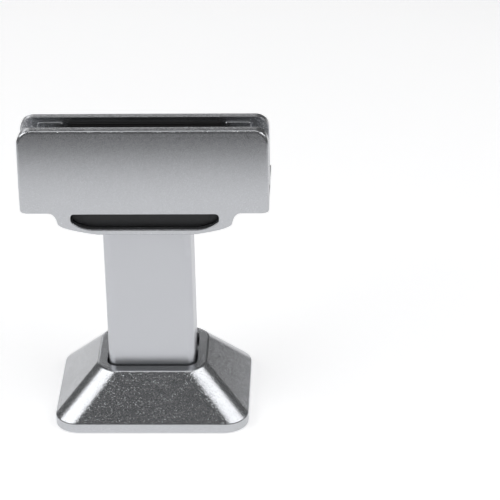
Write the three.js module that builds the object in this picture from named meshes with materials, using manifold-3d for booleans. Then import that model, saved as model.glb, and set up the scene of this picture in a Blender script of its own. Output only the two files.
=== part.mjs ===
// Pedestal panel clamp: a flared base, a rectangular column and a two-jaw clamp for a panel.
// Millimetres, +Z up. The origin is the middle of the face that it stands on.
// +X runs along the jaws, -Y is the front (the fixed jaw), +Y is the back (the sliding jaw).
import * as THREE from "three";
import { mergeVertices } from "three/addons/utils/BufferGeometryUtils.js";
import Module from "manifold-3d";

const wasm = await Module();
wasm.setup();

// ---------- driving dimensions ----------
const FIT = 0.3; // gap between pieces that touch
const ARC = 6; // straight steps in a quarter circle
const BAR_STEPS = 24; // straight steps round a bar
const THIN_STEPS = 16; // and round a thin one
const PAST = 1; // how far a cutter reaches past the face that it opens
const INTO = 0.5; // how far joined solids reach into each other

const BASE_W = 100; // base cover, along X
const BASE_D = 77.6;
const BASE_CORNER = 12.5;
const RIM_H = 5.5;
const COLLAR_W = 56; // flat collar at the top of the base cover
const COLLAR_D = 46.6;
const COLLAR_CORNER = 11.5;
const COLLAR_Z = 28.3;
const COVER_WALL = 2.5;
const COVER_CLEARANCE = 1.1; // running gap between cover and column
const COVER_LIFT_Z = 0.3; // the cover hangs just clear of the floor
const COVER_FOOT_CHAMFER = 0.8;
const COVER_INNER_STEP = 3.6; // the cover's hollow is this much narrower than the collar at its top
const COVER_RIB_X = 36; // ribs that rest the cover on the base plate
const COVER_RIB_Y = 26;
const COVER_RIB_HALF_T = 1;
const COVER_RIB_HALF_L = 4;

const COLUMN_W = 44.4;
const COLUMN_D = 33.6;
const COLUMN_CORNER = 4.3;
const COLUMN_WALL = 2;
const COLUMN_TOP = 110; // inside the socket under the table
const SOCKET_GAP = 0.4; // round the column in that socket

const MAT_H = 1.7;
const PLATE_BOTTOM = 2;
const PLATE_TOP = 8;
const PLATE_W = 87;
const PLATE_D = 66.4;
const PLATE_CORNER = 8;
const MAT_INSET = 3; // the mat is this much narrower than the plate
const MAT_CORNER = 6.5;
const ANCHOR_X = 34; // holes for two floor screws
const ANCHOR_R = 3.25;
const MAT_HOLE_R = 5;

const JAW_L = 124.3;
const JAW_TOP = 162.1;
const JAW_CORNER = 7;
const TABLE_TOP = 123.5;
const TABLE_BOTTOM = 118.5;
const TABLE_BACK = 22.8;
const FRONT_FACE = -22.7; // outside of the front jaw at its foot
const FRONT_INNER = -13.9;
const REAR_INNER = -1.9;
const REAR_FACE = 6; // outside of the rear jaw at its foot
const JAW_DRAFT = 4; // how far both outsides lean in at the top
const CHANNEL_HALF = 31.5;
const CHANNEL_DEPTH = 3;
const KEY_SIDE_GAP = 0.5; // between the rear jaw's key and the channel's sides
const TABLE_CORNER = 2; // along the table's lower ends
const TABLE_CHAMFER = 1;
const REAR_FOOT_CORNER = 0.6;

const HULL_BOTTOM = 106.8; // hull-shaped socket under the table, front to back
const HULL_WALL = 4;
const HULL_FLOOR = 3;
const HULL_TOP_HALF = 47.5; // where its sides meet the table
const HULL_KNEE_HALF = 43.5;
const HULL_KNEE_Z = 112.4;
const HULL_FLAT_HALF = 24;
const SLOT_TOP = 118.1; // slot in the front of the hull
const SLOT_BOTTOM = 109.6;
const SLOT_HALF = 37.2;
const SLOT_DEPTH = 5.7;
const SLOT_FLAT_HALF = 27; // flat middle of its lower edge
const SLOT_BILGE_HALF = 34.5; // where that edge starts to climb
const SLOT_SHOULDER = 2.3; // from its side back to its flat top
const SLOT_SHOULDER_DROP = 3.7;
const INSERT_RECESS = 3.4; // from the front face back to the insert
const INSERT_T = 2;
const INSERT_GAP = 0.35; // between the insert and the slot
const INSERT_PANEL_HALF = 32; // shallow panel in the insert's face
const INSERT_PANEL_DEPTH = 0.35;

const PIN_X = 46.8;
const PIN_Z = 147;
const SLEEVE_R = 4.5;
const SCREW_R = 2.5; // M5
const SCREW_HEAD_R = 4.25;
const SCREW_HEAD_H = 3.5; // low head
const SCREW_HEAD_CHAMFER = 0.5;
const SCREW_HEAD_PROUD = 0.35; // of the rear jaw's outside
const SCREW_KEY = 3; // across the flats of the socket
const SCREW_KEY_DEPTH = 2.3;
const WASHER_T = 1.2; // lock washer under the head
const WASHER_R = 4.2;
const WASHER_BORE_GAP = 0.2;
const SCREW_TIP = -19.2;
const BOSS_PROUD = 1.2; // bosses round the cross screws, on the rear jaw's inner face
const BOSS_HALF = 6.5;
const BOSS_DROP = 9; // from the screw down to a boss's lower end
const RIB_PROUD = 0.8; // ribs on the front jaw's inner face
const RIB_TOP_GAP = 0.4; // from a rib's top down from the jaw's top
const RIBS = [[13.5, 23.8], [52, 58]]; // from, to; mirrored in X
const PAD_T = 0.9;
const PAD_FOOT = 3; // from the table up to a pad
const PAD_TOP_GAP = 2.5; // from a pad or a boss up to the jaw's top
const PAD_RIB_GAP = 1.2; // from a rib to the pad beside it
const FRONT_PAD_END = 40;
const REAR_PAD_END = 38;

const BOLT_X = 11;
const BOLT_R = 4; // M8
const BOLT_TIP = 115.5;
const BOLT_HEAD_R = 7.6;
const BOLT_HEAD_H = 4.4;
const BOLT_HEAD_EDGE = 0.5; // upright edge of the countersunk head
const BOLT_HEAD_RISE = 0.2; // the head sits this far inside the plate
const BOLT_KEY = 5;
const BOLT_KEY_DEPTH = 2.5;
const BOLT_CLEARANCE = 0.4;
const BOLT_BOSS_R = 6.5;
const BOLT_BOSS_BOTTOM = 100;

const NYLON_GAP = 0.4; // between a plug and the column's inside
const NYLON_CORNER = 2;
const COLLAR_PLUG_DROP = 18; // how far the head collar reaches into the column
const COLLAR_LEDGE_W = 42;
const COLLAR_LEDGE_D = 31;
const COLLAR_LEDGE_CORNER = 3.4;
const FOOT_PLUG_H = 14;

// ---------- finishes ----------
const painted = { color: 0xa9acb1, roughness: 0.38, metalness: 0.75 };
const anodised = { color: 0xb9bbc0, roughness: 0.42, metalness: 0.8 };
const steel = { color: 0xc4c6c8, roughness: 0.22, metalness: 1 };
const zincPlate = { color: 0x9da1a4, roughness: 0.45, metalness: 0.9 };
const nylon = { color: 0x1d1e20, roughness: 0.6, metalness: 0 };
const rubber = { color: 0x17181a, roughness: 0.85, metalness: 0 };

// ---------- solids ----------
function toSolid(geometry) {
  const bare = geometry.index ? geometry.toNonIndexed() : geometry.clone();
  bare.deleteAttribute("normal");
  bare.deleteAttribute("uv");
  const merged = mergeVertices(bare, 1e-4);
  const vertProperties = new Float32Array(merged.attributes.position.array);
  const triVerts = new Uint32Array(merged.index.array);
  return new wasm.Manifold(new wasm.Mesh({ numProp: 3, vertProperties, triVerts }));
}

function toGeometry(solid) {
  const mesh = solid.getMesh();
  const geometry = new THREE.BufferGeometry();
  geometry.setAttribute("position", new THREE.BufferAttribute(mesh.vertProperties.slice(), 3));
  geometry.setIndex(new THREE.BufferAttribute(mesh.triVerts.slice(), 1));
  return geometry;
}

const join = (first, ...rest) => rest.reduce((sum, solid) => sum.add(solid), first);
const cut = (first, ...rest) => rest.reduce((left, solid) => left.subtract(solid), first);

// A box given by its lowest and highest corners.
function block([x0, y0, z0], [x1, y1, z1]) {
  const box = new THREE.BoxGeometry(x1 - x0, y1 - y0, z1 - z0);
  box.translate((x0 + x1) / 2, (y0 + y1) / 2, (z0 + z1) / 2);
  return toSolid(box);
}

// A turned solid about Z from [radius, z] points that start and end on the axis.
function turned(profile, steps = BAR_STEPS) {
  return toSolid(new THREE.LatheGeometry(
    profile.map(([r, h]) => new THREE.Vector2(r, h)), steps).rotateX(Math.PI / 2));
}

// A round bar along Z or along Y.
function barZ(x, y, z0, z1, r, steps = BAR_STEPS) {
  return turned([[0, z0], [r, z0], [r, z1], [0, z1]], steps).translate([x, y, 0]);
}
function barY(x, z, y0, y1, r, steps = BAR_STEPS) {
  const bar = new THREE.CylinderGeometry(r, r, y1 - y0, steps);
  bar.translate(x, (y0 + y1) / 2, z);
  return toSolid(bar);
}

// A rounded rectangle in plan, centred on the origin.
function roundedPlan(w, d, r) {
  const shape = new THREE.Shape();
  const x = w / 2 - r;
  const y = d / 2 - r;
  shape.absarc(x, -y, r, -Math.PI / 2, 0);
  shape.absarc(x, y, r, 0, Math.PI / 2);
  shape.absarc(-x, y, r, Math.PI / 2, Math.PI);
  shape.absarc(-x, -y, r, Math.PI, Math.PI * 1.5);
  return shape;
}

function prism(w, d, r, z0, z1) {
  const flat = new THREE.ExtrudeGeometry(roundedPlan(w, d, r),
    { depth: z1 - z0, bevelEnabled: false, curveSegments: ARC });
  return toSolid(flat.translate(0, 0, z0));
}

// An outline in the XZ plane, extruded along Y.
function wallXZ(shape, y0, y1) {
  const wall = new THREE.ExtrudeGeometry(shape,
    { depth: y1 - y0, bevelEnabled: false, curveSegments: ARC });
  return toSolid(wall.rotateX(Math.PI / 2).translate(0, y1, 0));
}

// An outline in the YZ plane, extruded along X over the jaw length.
function barYZ(shape) {
  const bar = new THREE.ExtrudeGeometry(shape,
    { depth: JAW_L, bevelEnabled: false, curveSegments: ARC });
  bar.rotateX(Math.PI / 2).rotateZ(Math.PI / 2);
  return toSolid(bar.translate(-JAW_L / 2, 0, 0));
}

// A solid through rounded rectangles at rising heights: [w, d, r, z].
function loft(sections) {
  const rings = sections.map(([w, d, r, z]) =>
    roundedPlan(w, d, r).extractPoints(ARC).shape.slice(0, -1).map((p) => [p.x, p.y, z]));
  const n = rings[0].length;
  const points = rings.flat(2);
  const faces = [];
  for (let k = 0; k + 1 < rings.length; k++) {
    for (let i = 0; i < n; i++) {
      const a = k * n + i;
      const b = k * n + (i + 1) % n;
      faces.push(a, b, b + n, a, b + n, a + n);
    }
  }
  const top = (rings.length - 1) * n;
  for (let i = 1; i + 1 < n; i++) {
    faces.push(0, i + 1, i, top, top + i, top + i + 1);
  }
  const geometry = new THREE.BufferGeometry();
  geometry.setAttribute("position", new THREE.Float32BufferAttribute(points, 3));
  geometry.setIndex(faces);
  return toSolid(geometry);
}

// ---------- head ----------
// Leans in by JAW_DRAFT from the foot of a jaw to its top, along a parabola.
function lean(z) {
  const t = Math.max(0, (z - TABLE_TOP) / (JAW_TOP - TABLE_TOP));
  return JAW_DRAFT * t * t;
}

// The curved outside of a jaw, bottom to top, for an outside at y0 that leans towards +Y or -Y.
function curvedSide(y0, towards) {
  const steps = 8;
  const points = [];
  for (let i = 0; i <= steps; i++) {
    const z = TABLE_TOP + (JAW_TOP - TABLE_TOP) * i / steps;
    points.push(new THREE.Vector2(y0 + towards * lean(z), z));
  }
  return points;
}

// Both jaws share this outline along X: square foot, round top corners.
function jawOutline(bottom, footCorner) {
  const h = JAW_L / 2;
  const shape = new THREE.Shape();
  shape.absarc(h - footCorner, bottom + footCorner, footCorner, -Math.PI / 2, 0);
  shape.absarc(h - JAW_CORNER, JAW_TOP - JAW_CORNER, JAW_CORNER, 0, Math.PI / 2);
  shape.absarc(-h + JAW_CORNER, JAW_TOP - JAW_CORNER, JAW_CORNER, Math.PI / 2, Math.PI);
  shape.absarc(-h + footCorner, bottom + footCorner, footCorner, Math.PI, Math.PI * 1.5);
  return shape;
}

// Hull-shaped outline: the sides drop steeply, then run flat to the bottom. inset shrinks it.
function hullOutline(inset, bottom, top) {
  const topHalf = HULL_TOP_HALF - inset;
  const knee = HULL_KNEE_HALF - inset;
  const kneeZ = HULL_KNEE_Z + inset / 2;
  const flat = HULL_FLAT_HALF - inset / 4;
  const shape = new THREE.Shape();
  shape.moveTo(-flat, bottom);
  shape.lineTo(flat, bottom);
  shape.quadraticCurveTo(knee - 2, kneeZ - 3, knee, kneeZ);
  shape.quadraticCurveTo(knee + 1, top - 0.4, topHalf, top);
  shape.lineTo(-topHalf, top);
  shape.quadraticCurveTo(-knee - 1, top - 0.4, -knee, kneeZ);
  shape.quadraticCurveTo(-knee + 2, kneeZ - 3, -flat, bottom);
  return shape;
}

// The slot's outline: flat top, boat-shaped bottom. inset shrinks it.
function slotOutline(inset) {
  const half = SLOT_HALF - inset;
  const top = SLOT_TOP - inset;
  const bottom = SLOT_BOTTOM + inset;
  const flat = SLOT_FLAT_HALF - inset / 2;
  const bilge = SLOT_BILGE_HALF - inset;
  const side = half - 0.4;
  const sideZ = top - SLOT_SHOULDER_DROP + inset;
  const shape = new THREE.Shape();
  shape.moveTo(-flat, bottom);
  shape.lineTo(flat, bottom);
  shape.quadraticCurveTo(bilge, bottom + 1.2, side, sideZ);
  shape.quadraticCurveTo(half + 0.3, top, half - SLOT_SHOULDER, top);
  shape.lineTo(-half + SLOT_SHOULDER, top);
  shape.quadraticCurveTo(-half - 0.3, top, -side, sideZ);
  shape.quadraticCurveTo(-bilge, bottom + 1.2, -flat, bottom);
  return shape;
}

function frontJawBracket() {
  const profile = new THREE.Shape([
    ...curvedSide(FRONT_FACE, 1),
    new THREE.Vector2(FRONT_INNER, JAW_TOP),
    new THREE.Vector2(FRONT_INNER, TABLE_TOP),
    new THREE.Vector2(TABLE_BACK, TABLE_TOP),
    new THREE.Vector2(TABLE_BACK, TABLE_BOTTOM + TABLE_CHAMFER),
    new THREE.Vector2(TABLE_BACK - TABLE_CHAMFER, TABLE_BOTTOM),
    new THREE.Vector2(FRONT_FACE + TABLE_CHAMFER, TABLE_BOTTOM),
    new THREE.Vector2(FRONT_FACE, TABLE_BOTTOM + TABLE_CHAMFER),
  ]);
  const outline = jawOutline(TABLE_BOTTOM, TABLE_CORNER);
  const body = barYZ(profile).intersect(wallXZ(outline, FRONT_FACE - PAST, TABLE_BACK + PAST));
  const hull = wallXZ(hullOutline(0, HULL_BOTTOM, TABLE_BOTTOM + INTO), FRONT_FACE, TABLE_BACK);
  const hollow = wallXZ(hullOutline(HULL_WALL, HULL_BOTTOM + HULL_FLOOR, TABLE_BOTTOM),
    FRONT_FACE + HULL_WALL, TABLE_BACK - HULL_WALL);
  const socket = prism(COLUMN_W + 2 * SOCKET_GAP, COLUMN_D + 2 * SOCKET_GAP,
    COLUMN_CORNER + SOCKET_GAP, HULL_BOTTOM - PAST, HULL_BOTTOM + HULL_FLOOR + PAST);
  const ribs = RIBS.flatMap(([a, b]) => [[a, b], [-b, -a]]).map(([a, b]) =>
    block([a, FRONT_INNER - PAST, TABLE_TOP - INTO],
      [b, FRONT_INNER + RIB_PROUD, JAW_TOP - RIB_TOP_GAP]));
  const bosses = [-BOLT_X, BOLT_X].map((x) =>
    barZ(x, 0, BOLT_BOSS_BOTTOM, TABLE_BOTTOM + INTO, BOLT_BOSS_R));
  const slot = wallXZ(slotOutline(0), FRONT_FACE - PAST, FRONT_FACE + SLOT_DEPTH);
  const channel = block([-CHANNEL_HALF, FRONT_INNER, TABLE_TOP - CHANNEL_DEPTH],
    [CHANNEL_HALF, TABLE_BACK + PAST, TABLE_TOP + PAST]);
  const boltHoles = [-BOLT_X, BOLT_X].map((x) =>
    barZ(x, 0, BOLT_BOSS_BOTTOM - PAST, BOLT_TIP + FIT, BOLT_R + FIT));
  const screwHoles = [-PIN_X, PIN_X].map((x) =>
    barY(x, PIN_Z, SCREW_TIP - FIT, FRONT_INNER + 2 * PAST, SCREW_R + FIT, THIN_STEPS));
  const cast = join(cut(body, channel), cut(hull, hollow, socket), ...bosses, ...ribs);
  return cut(cast, slot, ...boltHoles, ...screwHoles);
}

// Black insert that closes the slot, with a shallow panel in its face.
function slotInsert() {
  const face = FRONT_FACE + INSERT_RECESS;
  const body = wallXZ(slotOutline(INSERT_GAP), face, face + INSERT_T);
  const panel = block([-INSERT_PANEL_HALF, face - PAST, SLOT_BOTTOM + 0.8],
    [INSERT_PANEL_HALF, face + INSERT_PANEL_DEPTH, SLOT_TOP - 2]);
  return cut(body, panel);
}

function rearJaw() {
  const foot = TABLE_TOP + FIT;
  const profile = new THREE.Shape([
    new THREE.Vector2(REAR_INNER, foot),
    new THREE.Vector2(REAR_FACE - TABLE_CHAMFER, foot),
    new THREE.Vector2(REAR_FACE, foot + TABLE_CHAMFER),
    ...curvedSide(REAR_FACE, -1).slice(1),
    new THREE.Vector2(REAR_INNER, JAW_TOP),
  ]);
  const outline = jawOutline(foot, REAR_FOOT_CORNER);
  const body = barYZ(profile).intersect(wallXZ(outline, REAR_INNER - PAST, REAR_FACE + PAST));
  const keyHalf = CHANNEL_HALF - KEY_SIDE_GAP;
  const key = block([-keyHalf, REAR_INNER, TABLE_TOP - CHANNEL_DEPTH + FIT],
    [keyHalf, REAR_FACE - TABLE_CHAMFER, foot + INTO]);
  const bosses = [-PIN_X, PIN_X].map((x) =>
    block([x - BOSS_HALF, REAR_INNER - BOSS_PROUD, PIN_Z - BOSS_DROP],
      [x + BOSS_HALF, REAR_INNER + INTO, JAW_TOP - PAD_TOP_GAP]));
  const holes = [-PIN_X, PIN_X].flatMap((x) => [
    barY(x, PIN_Z, REAR_INNER - 3 * PAST, REAR_FACE + PAST, SCREW_R + FIT, THIN_STEPS),
    barY(x, PIN_Z, headSeat() - WASHER_T - 2 * FIT, REAR_FACE + PAST, SCREW_HEAD_R + FIT),
  ]);
  return cut(join(body, key, ...bosses), ...holes);
}

// Where the underside of a clamp screw's head sits in the rear jaw.
function headSeat() {
  return REAR_FACE - lean(PIN_Z) + SCREW_HEAD_PROUD - SCREW_HEAD_H;
}

// A hexagonal cutter along Y, centred on the origin.
function hexSocket(acrossFlats, length) {
  const r = acrossFlats / Math.sqrt(3);
  return new THREE.CylinderGeometry(r, r, length, 6);
}

function clampScrew(x) {
  const seat = headSeat();
  const end = seat + SCREW_HEAD_H;
  const bevel = SCREW_HEAD_CHAMFER;
  const head = barY(x, PIN_Z, seat, end - bevel, SCREW_HEAD_R);
  const crown = new THREE.CylinderGeometry(SCREW_HEAD_R - bevel, SCREW_HEAD_R, bevel, BAR_STEPS);
  crown.translate(x, end - bevel / 2, PIN_Z);
  const shank = barY(x, PIN_Z, SCREW_TIP, seat + INTO, SCREW_R, THIN_STEPS);
  const socket = toSolid(hexSocket(SCREW_KEY, 2 * SCREW_KEY_DEPTH).translate(x, end, PIN_Z));
  return cut(join(head, toSolid(crown), shank), socket);
}

function lockWasher(x) {
  const to = headSeat() - FIT;
  const from = to - WASHER_T;
  const bore = barY(x, PIN_Z, from - PAST, to + PAST, SCREW_R + WASHER_BORE_GAP, THIN_STEPS);
  return cut(barY(x, PIN_Z, from, to, WASHER_R), bore);
}

function spacerSleeve(x) {
  const from = FRONT_INNER + FIT;
  const to = REAR_INNER - BOSS_PROUD - FIT;
  const bore = barY(x, PIN_Z, from - PAST, to + PAST, SCREW_R + FIT, THIN_STEPS);
  return cut(barY(x, PIN_Z, from, to, SLEEVE_R), bore);
}

// A grip pad lying on a jaw's inner face, from x0 to x1. side is 1 on the front jaw, -1 on the rear.
function jawPad(x0, x1, side) {
  const face = side > 0 ? FRONT_INNER + FIT : REAR_INNER - FIT - PAD_T;
  return block([x0, face, TABLE_TOP + PAD_FOOT], [x1, face + PAD_T, JAW_TOP - PAD_TOP_GAP]);
}

// ---------- column ----------
function headCollar() {
  const inner = 2 * (COLUMN_WALL + NYLON_GAP);
  const foot = COLUMN_TOP - COLLAR_PLUG_DROP;
  const plug = prism(COLUMN_W - inner, COLUMN_D - inner, NYLON_CORNER, foot, COLUMN_TOP + 1);
  const collar = prism(COLLAR_LEDGE_W, COLLAR_LEDGE_D, COLLAR_LEDGE_CORNER,
    COLUMN_TOP + FIT, TABLE_BOTTOM - FIT);
  const pockets = [-BOLT_X, BOLT_X].flatMap((x) => [
    barZ(x, 0, BOLT_BOSS_BOTTOM - FIT, TABLE_BOTTOM, BOLT_BOSS_R + FIT),
    barZ(x, 0, foot - PAST, TABLE_BOTTOM, BOLT_R + BOLT_CLEARANCE),
  ]);
  return cut(join(plug, collar), ...pockets);
}

function columnTube() {
  const inner = 2 * COLUMN_WALL;
  return cut(
    prism(COLUMN_W, COLUMN_D, COLUMN_CORNER, PLATE_TOP + FIT, COLUMN_TOP),
    prism(COLUMN_W - inner, COLUMN_D - inner, COLUMN_CORNER - COLUMN_WALL, 0,
      COLUMN_TOP + PAST));
}

function footPlug() {
  const inner = 2 * (COLUMN_WALL + NYLON_GAP);
  const top = PLATE_TOP + FOOT_PLUG_H;
  const plug = prism(COLUMN_W - inner, COLUMN_D - inner, NYLON_CORNER, PLATE_TOP + FIT, top);
  const holes = [-BOLT_X, BOLT_X].map((x) => barZ(x, 0, 0, top + PAST, BOLT_R + BOLT_CLEARANCE));
  return cut(plug, ...holes);
}

function tieBolt(x) {
  const z0 = PLATE_BOTTOM + BOLT_HEAD_RISE;
  const bolt = turned([[0, z0], [BOLT_HEAD_R, z0], [BOLT_HEAD_R, z0 + BOLT_HEAD_EDGE],
    [BOLT_R, z0 + BOLT_HEAD_H], [BOLT_R, BOLT_TIP - 1], [BOLT_R - 1, BOLT_TIP], [0, BOLT_TIP]]);
  const key = hexSocket(BOLT_KEY, 2 * BOLT_KEY_DEPTH).rotateX(Math.PI / 2);
  const socket = toSolid(key.translate(0, 0, z0));
  return cut(bolt, socket).translate([x, 0, 0]);
}

// ---------- base ----------
function basePlate() {
  const z0 = PLATE_BOTTOM;
  const wide = BOLT_HEAD_R + FIT;
  const narrow = BOLT_R + BOLT_CLEARANCE;
  const edge = z0 + BOLT_HEAD_RISE + BOLT_HEAD_EDGE + 0.2;
  const sinks = [-BOLT_X, BOLT_X].map((x) => turned([[0, z0 - PAST], [wide, z0 - PAST], [wide, edge],
    [narrow, z0 + BOLT_HEAD_H + 0.5], [narrow, PLATE_TOP + PAST], [0, PLATE_TOP + PAST]])
    .translate([x, 0, 0]));
  const anchors = [-ANCHOR_X, ANCHOR_X].map((x) => barZ(x, 0, z0 - PAST, PLATE_TOP + PAST, ANCHOR_R));
  return cut(prism(PLATE_W, PLATE_D, PLATE_CORNER, z0, PLATE_TOP), ...sinks, ...anchors);
}

function baseMat() {
  const anchors = [-ANCHOR_X, ANCHOR_X].map((x) => barZ(x, 0, -PAST, MAT_H + PAST, MAT_HOLE_R));
  return cut(prism(PLATE_W - MAT_INSET, PLATE_D - MAT_INSET, MAT_CORNER, 0, MAT_H), ...anchors);
}

function baseCover() {
  const z0 = COVER_LIFT_Z;
  const wall = 2 * COVER_WALL;
  const foot = COVER_FOOT_CHAMFER;
  const step = COVER_INNER_STEP;
  const outside = loft([
    [BASE_W - 2 * foot, BASE_D - 2 * foot, BASE_CORNER - foot, z0],
    [BASE_W, BASE_D, BASE_CORNER, z0 + foot],
    [BASE_W, BASE_D, BASE_CORNER, RIM_H],
    [COLLAR_W, COLLAR_D, COLLAR_CORNER, COLLAR_Z],
  ]);
  const inside = loft([
    [BASE_W - wall, BASE_D - wall, BASE_CORNER - COVER_WALL, z0 - PAST],
    [BASE_W - wall, BASE_D - wall, BASE_CORNER - COVER_WALL, RIM_H],
    [COLLAR_W - step, COLLAR_D - step, COLLAR_CORNER - step / 2, COLLAR_Z - COVER_WALL],
  ]);
  const gap = 2 * COVER_CLEARANCE;
  const hole = prism(COLUMN_W + gap, COLUMN_D + gap, COLUMN_CORNER + COVER_CLEARANCE,
    COLLAR_Z - COVER_WALL - 4, COLLAR_Z + PAST);
  const ribs = [[1, 1], [-1, 1], [-1, -1], [1, -1]].map(([sx, sy]) => {
    const x = COVER_RIB_X * sx;
    const y = COVER_RIB_Y * sy;
    const low = [x - COVER_RIB_HALF_T, y - COVER_RIB_HALF_L, PLATE_TOP + FIT];
    const high = [x + COVER_RIB_HALF_T, y + COVER_RIB_HALF_L, COLLAR_Z];
    return block(low, high).intersect(inside);
  });
  return cut(join(cut(outside, inside), ...ribs), hole);
}

// ---------- assembly ----------
const group = new THREE.Group();

function add(name, solid, finish) {
  const mesh = new THREE.Mesh(toGeometry(solid), new THREE.MeshStandardMaterial(finish));
  mesh.name = name;
  group.add(mesh);
}

add("front_jaw_bracket", frontJawBracket(), painted);
add("slot_insert", slotInsert(), nylon);
add("rear_jaw", rearJaw(), painted);
for (const [side, x] of [["left", -PIN_X], ["right", PIN_X]]) {
  add(`clamp_screw_${side}`, clampScrew(x), steel);
  add(`lock_washer_${side}`, lockWasher(x), steel);
  add(`spacer_sleeve_${side}`, spacerSleeve(x), steel);
}
const [ribFrom, ribTo] = RIBS[0];
const middleHalf = ribFrom - PAD_RIB_GAP;
const outerFrom = ribTo + PAD_RIB_GAP;
add("front_jaw_pad_middle", jawPad(-middleHalf, middleHalf, 1), rubber);
add("front_jaw_pad_left", jawPad(-FRONT_PAD_END, -outerFrom, 1), rubber);
add("front_jaw_pad_right", jawPad(outerFrom, FRONT_PAD_END, 1), rubber);
add("rear_jaw_pad", jawPad(-REAR_PAD_END, REAR_PAD_END, -1), rubber);
add("head_collar", headCollar(), nylon);
add("column_tube", columnTube(), anodised);
add("foot_plug", footPlug(), nylon);
for (const [side, x] of [["left", -BOLT_X], ["right", BOLT_X]]) {
  add(`tie_bolt_${side}`, tieBolt(x), zincPlate);
}
add("base_plate", basePlate(), zincPlate);
add("base_mat", baseMat(), rubber);
add("base_cover", baseCover(), painted);

export default group;
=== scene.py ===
"""Pedestal panel clamp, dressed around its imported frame. Metres, +Z up, fixed jaw towards -Y."""
import math

import bmesh
import bpy
from bpy.props import FloatProperty, FloatVectorProperty, IntProperty, PointerProperty
from bpy.types import Operator, Panel, PropertyGroup
from mathutils import Matrix, Vector


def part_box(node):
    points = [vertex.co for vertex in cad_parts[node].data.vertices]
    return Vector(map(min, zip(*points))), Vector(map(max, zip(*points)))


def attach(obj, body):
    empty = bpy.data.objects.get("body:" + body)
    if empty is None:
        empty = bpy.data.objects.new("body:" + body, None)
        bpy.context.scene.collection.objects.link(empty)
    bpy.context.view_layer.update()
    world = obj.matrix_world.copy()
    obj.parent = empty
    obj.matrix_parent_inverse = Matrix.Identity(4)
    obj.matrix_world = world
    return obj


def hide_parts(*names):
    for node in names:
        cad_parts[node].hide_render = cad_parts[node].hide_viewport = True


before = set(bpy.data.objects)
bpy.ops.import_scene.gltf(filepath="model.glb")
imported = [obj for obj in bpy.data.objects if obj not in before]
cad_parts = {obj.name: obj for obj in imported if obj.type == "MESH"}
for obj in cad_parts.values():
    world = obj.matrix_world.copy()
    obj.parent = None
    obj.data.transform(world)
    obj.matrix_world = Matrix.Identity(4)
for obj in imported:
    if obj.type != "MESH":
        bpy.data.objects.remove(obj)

bl_info = {
    "name": "Pedestal Panel Clamp",
    "version": (1, 0, 0),
    "blender": (4, 5, 0),
    "location": "View3D > Sidebar > Clamp",
    "description": "Builds a two-jaw panel clamp on a column with a flared base",
    "category": "Add Mesh",
}

MM = 0.001
QUARTER = math.pi / 2
FLOAT = "NodeSocketFloat"
VECTOR = "NodeSocketVector"

# ---------- places taken from the frame ----------
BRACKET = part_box("front_jaw_bracket")
REAR_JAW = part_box("rear_jaw")
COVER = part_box("base_cover")
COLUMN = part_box("column_tube")
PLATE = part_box("base_plate")
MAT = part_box("base_mat")
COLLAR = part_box("head_collar")
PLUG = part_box("foot_plug")
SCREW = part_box("clamp_screw_right")
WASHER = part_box("lock_washer_right")
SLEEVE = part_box("spacer_sleeve_right")
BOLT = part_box("tie_bolt_right")
REAR_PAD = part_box("rear_jaw_pad")
MIDDLE_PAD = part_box("front_jaw_pad_middle")

HALF = BRACKET[1].x  # half the length of both jaws
JAW_TOP = BRACKET[1].z
FRONT = BRACKET[0].y  # outside of the fixed jaw at its foot
TABLE_BACK = BRACKET[1].y
REAR_FOOT_GAP = 0.3 * MM
GRIP_GAP = 0.3 * MM  # between a pad and the jaw that it lies on
FRONT_INNER = MIDDLE_PAD[0].y - GRIP_GAP
REAR_INNER = REAR_PAD[1].y + GRIP_GAP
REAR_FACE = REAR_JAW[1].y
PIN_X = (SCREW[0].x + SCREW[1].x) / 2
PIN_Z = (SCREW[0].z + SCREW[1].z) / 2
BOLT_X = (BOLT[0].x + BOLT[1].x) / 2

# ---------- shapes that the frame's boxes do not give ----------
HULL_FLAT_HALF = 24 * MM  # half width of the socket's flat bottom
HULL_KNEE = (43.5 * MM, 112.4 * MM)  # where the socket's side turns upwards
HULL_SHOULDER_HALF = 47.5 * MM  # half width where it meets the table
HULL_ROOT = 1.5 * MM  # how far the socket reaches into the table
SLOT_HALF = 37.2 * MM
SLOT_TOP = 118.1 * MM
SLOT_BOTTOM = 109.6 * MM
SLOT_FLAT_HALF = 27 * MM  # half width of the slot's flat bottom
SLOT_BELLY_HALF = 34.5 * MM  # handle of the curve from that flat to the side
INSERT_GAP = 0.35 * MM  # between the insert and the slot
INSERT_PANEL_HALF = 32 * MM
INSERT_PANEL_TOP = 116.1 * MM
RIB_SPANS = ((13.5, 23.8), (52, 58))  # locating ribs along X, millimetres, at both sides
RIB_TOP_GAP = 0.4 * MM  # from a rib up to the jaw's top
TIE_BOSS_RADIUS = 6.5 * MM
TAP_RADIUS = 4.3 * MM  # tapped hole for a tie bolt
TAP_MOUTH_RADIUS = 5.5 * MM
PIN_BORE = 2.8 * MM  # round a clamp screw
HEAD_BORE = 4.55 * MM  # round its head
PIN_BOSS_WIDTH = 13 * MM
PIN_BOSS_DROP = 9 * MM  # from the screw's axis down to its boss's foot
PIN_BOSS_TOP_GAP = 2.5 * MM
WASHER_BORE = 2.7 * MM
SOCKET_GAP = 0.8 * MM  # across the column in its socket
SOCKET_CORNER = 4.7 * MM
COVER_RIB = (36 * MM, 26 * MM)  # middle of each rib inside the cover
COVER_RIB_TOP = 13.5 * MM
COLLAR_POCKET = 6.8 * MM  # radius round a tie bolt's boss
PLUG_GAP = 0.4 * MM  # between a plug and what is round it


# ---------- what a user may change ----------
def length(name, text, millimetres):
    """A length property in metres."""
    return FloatProperty(name=name, description=text, default=millimetres * MM, min=0,
                         subtype="DISTANCE", unit="LENGTH", precision=5)


def colour(name, text, default):
    """A colour property, scene linear."""
    return FloatVectorProperty(name=name, description=text, default=default, size=3,
                               min=0, max=1, subtype="COLOR")


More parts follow.
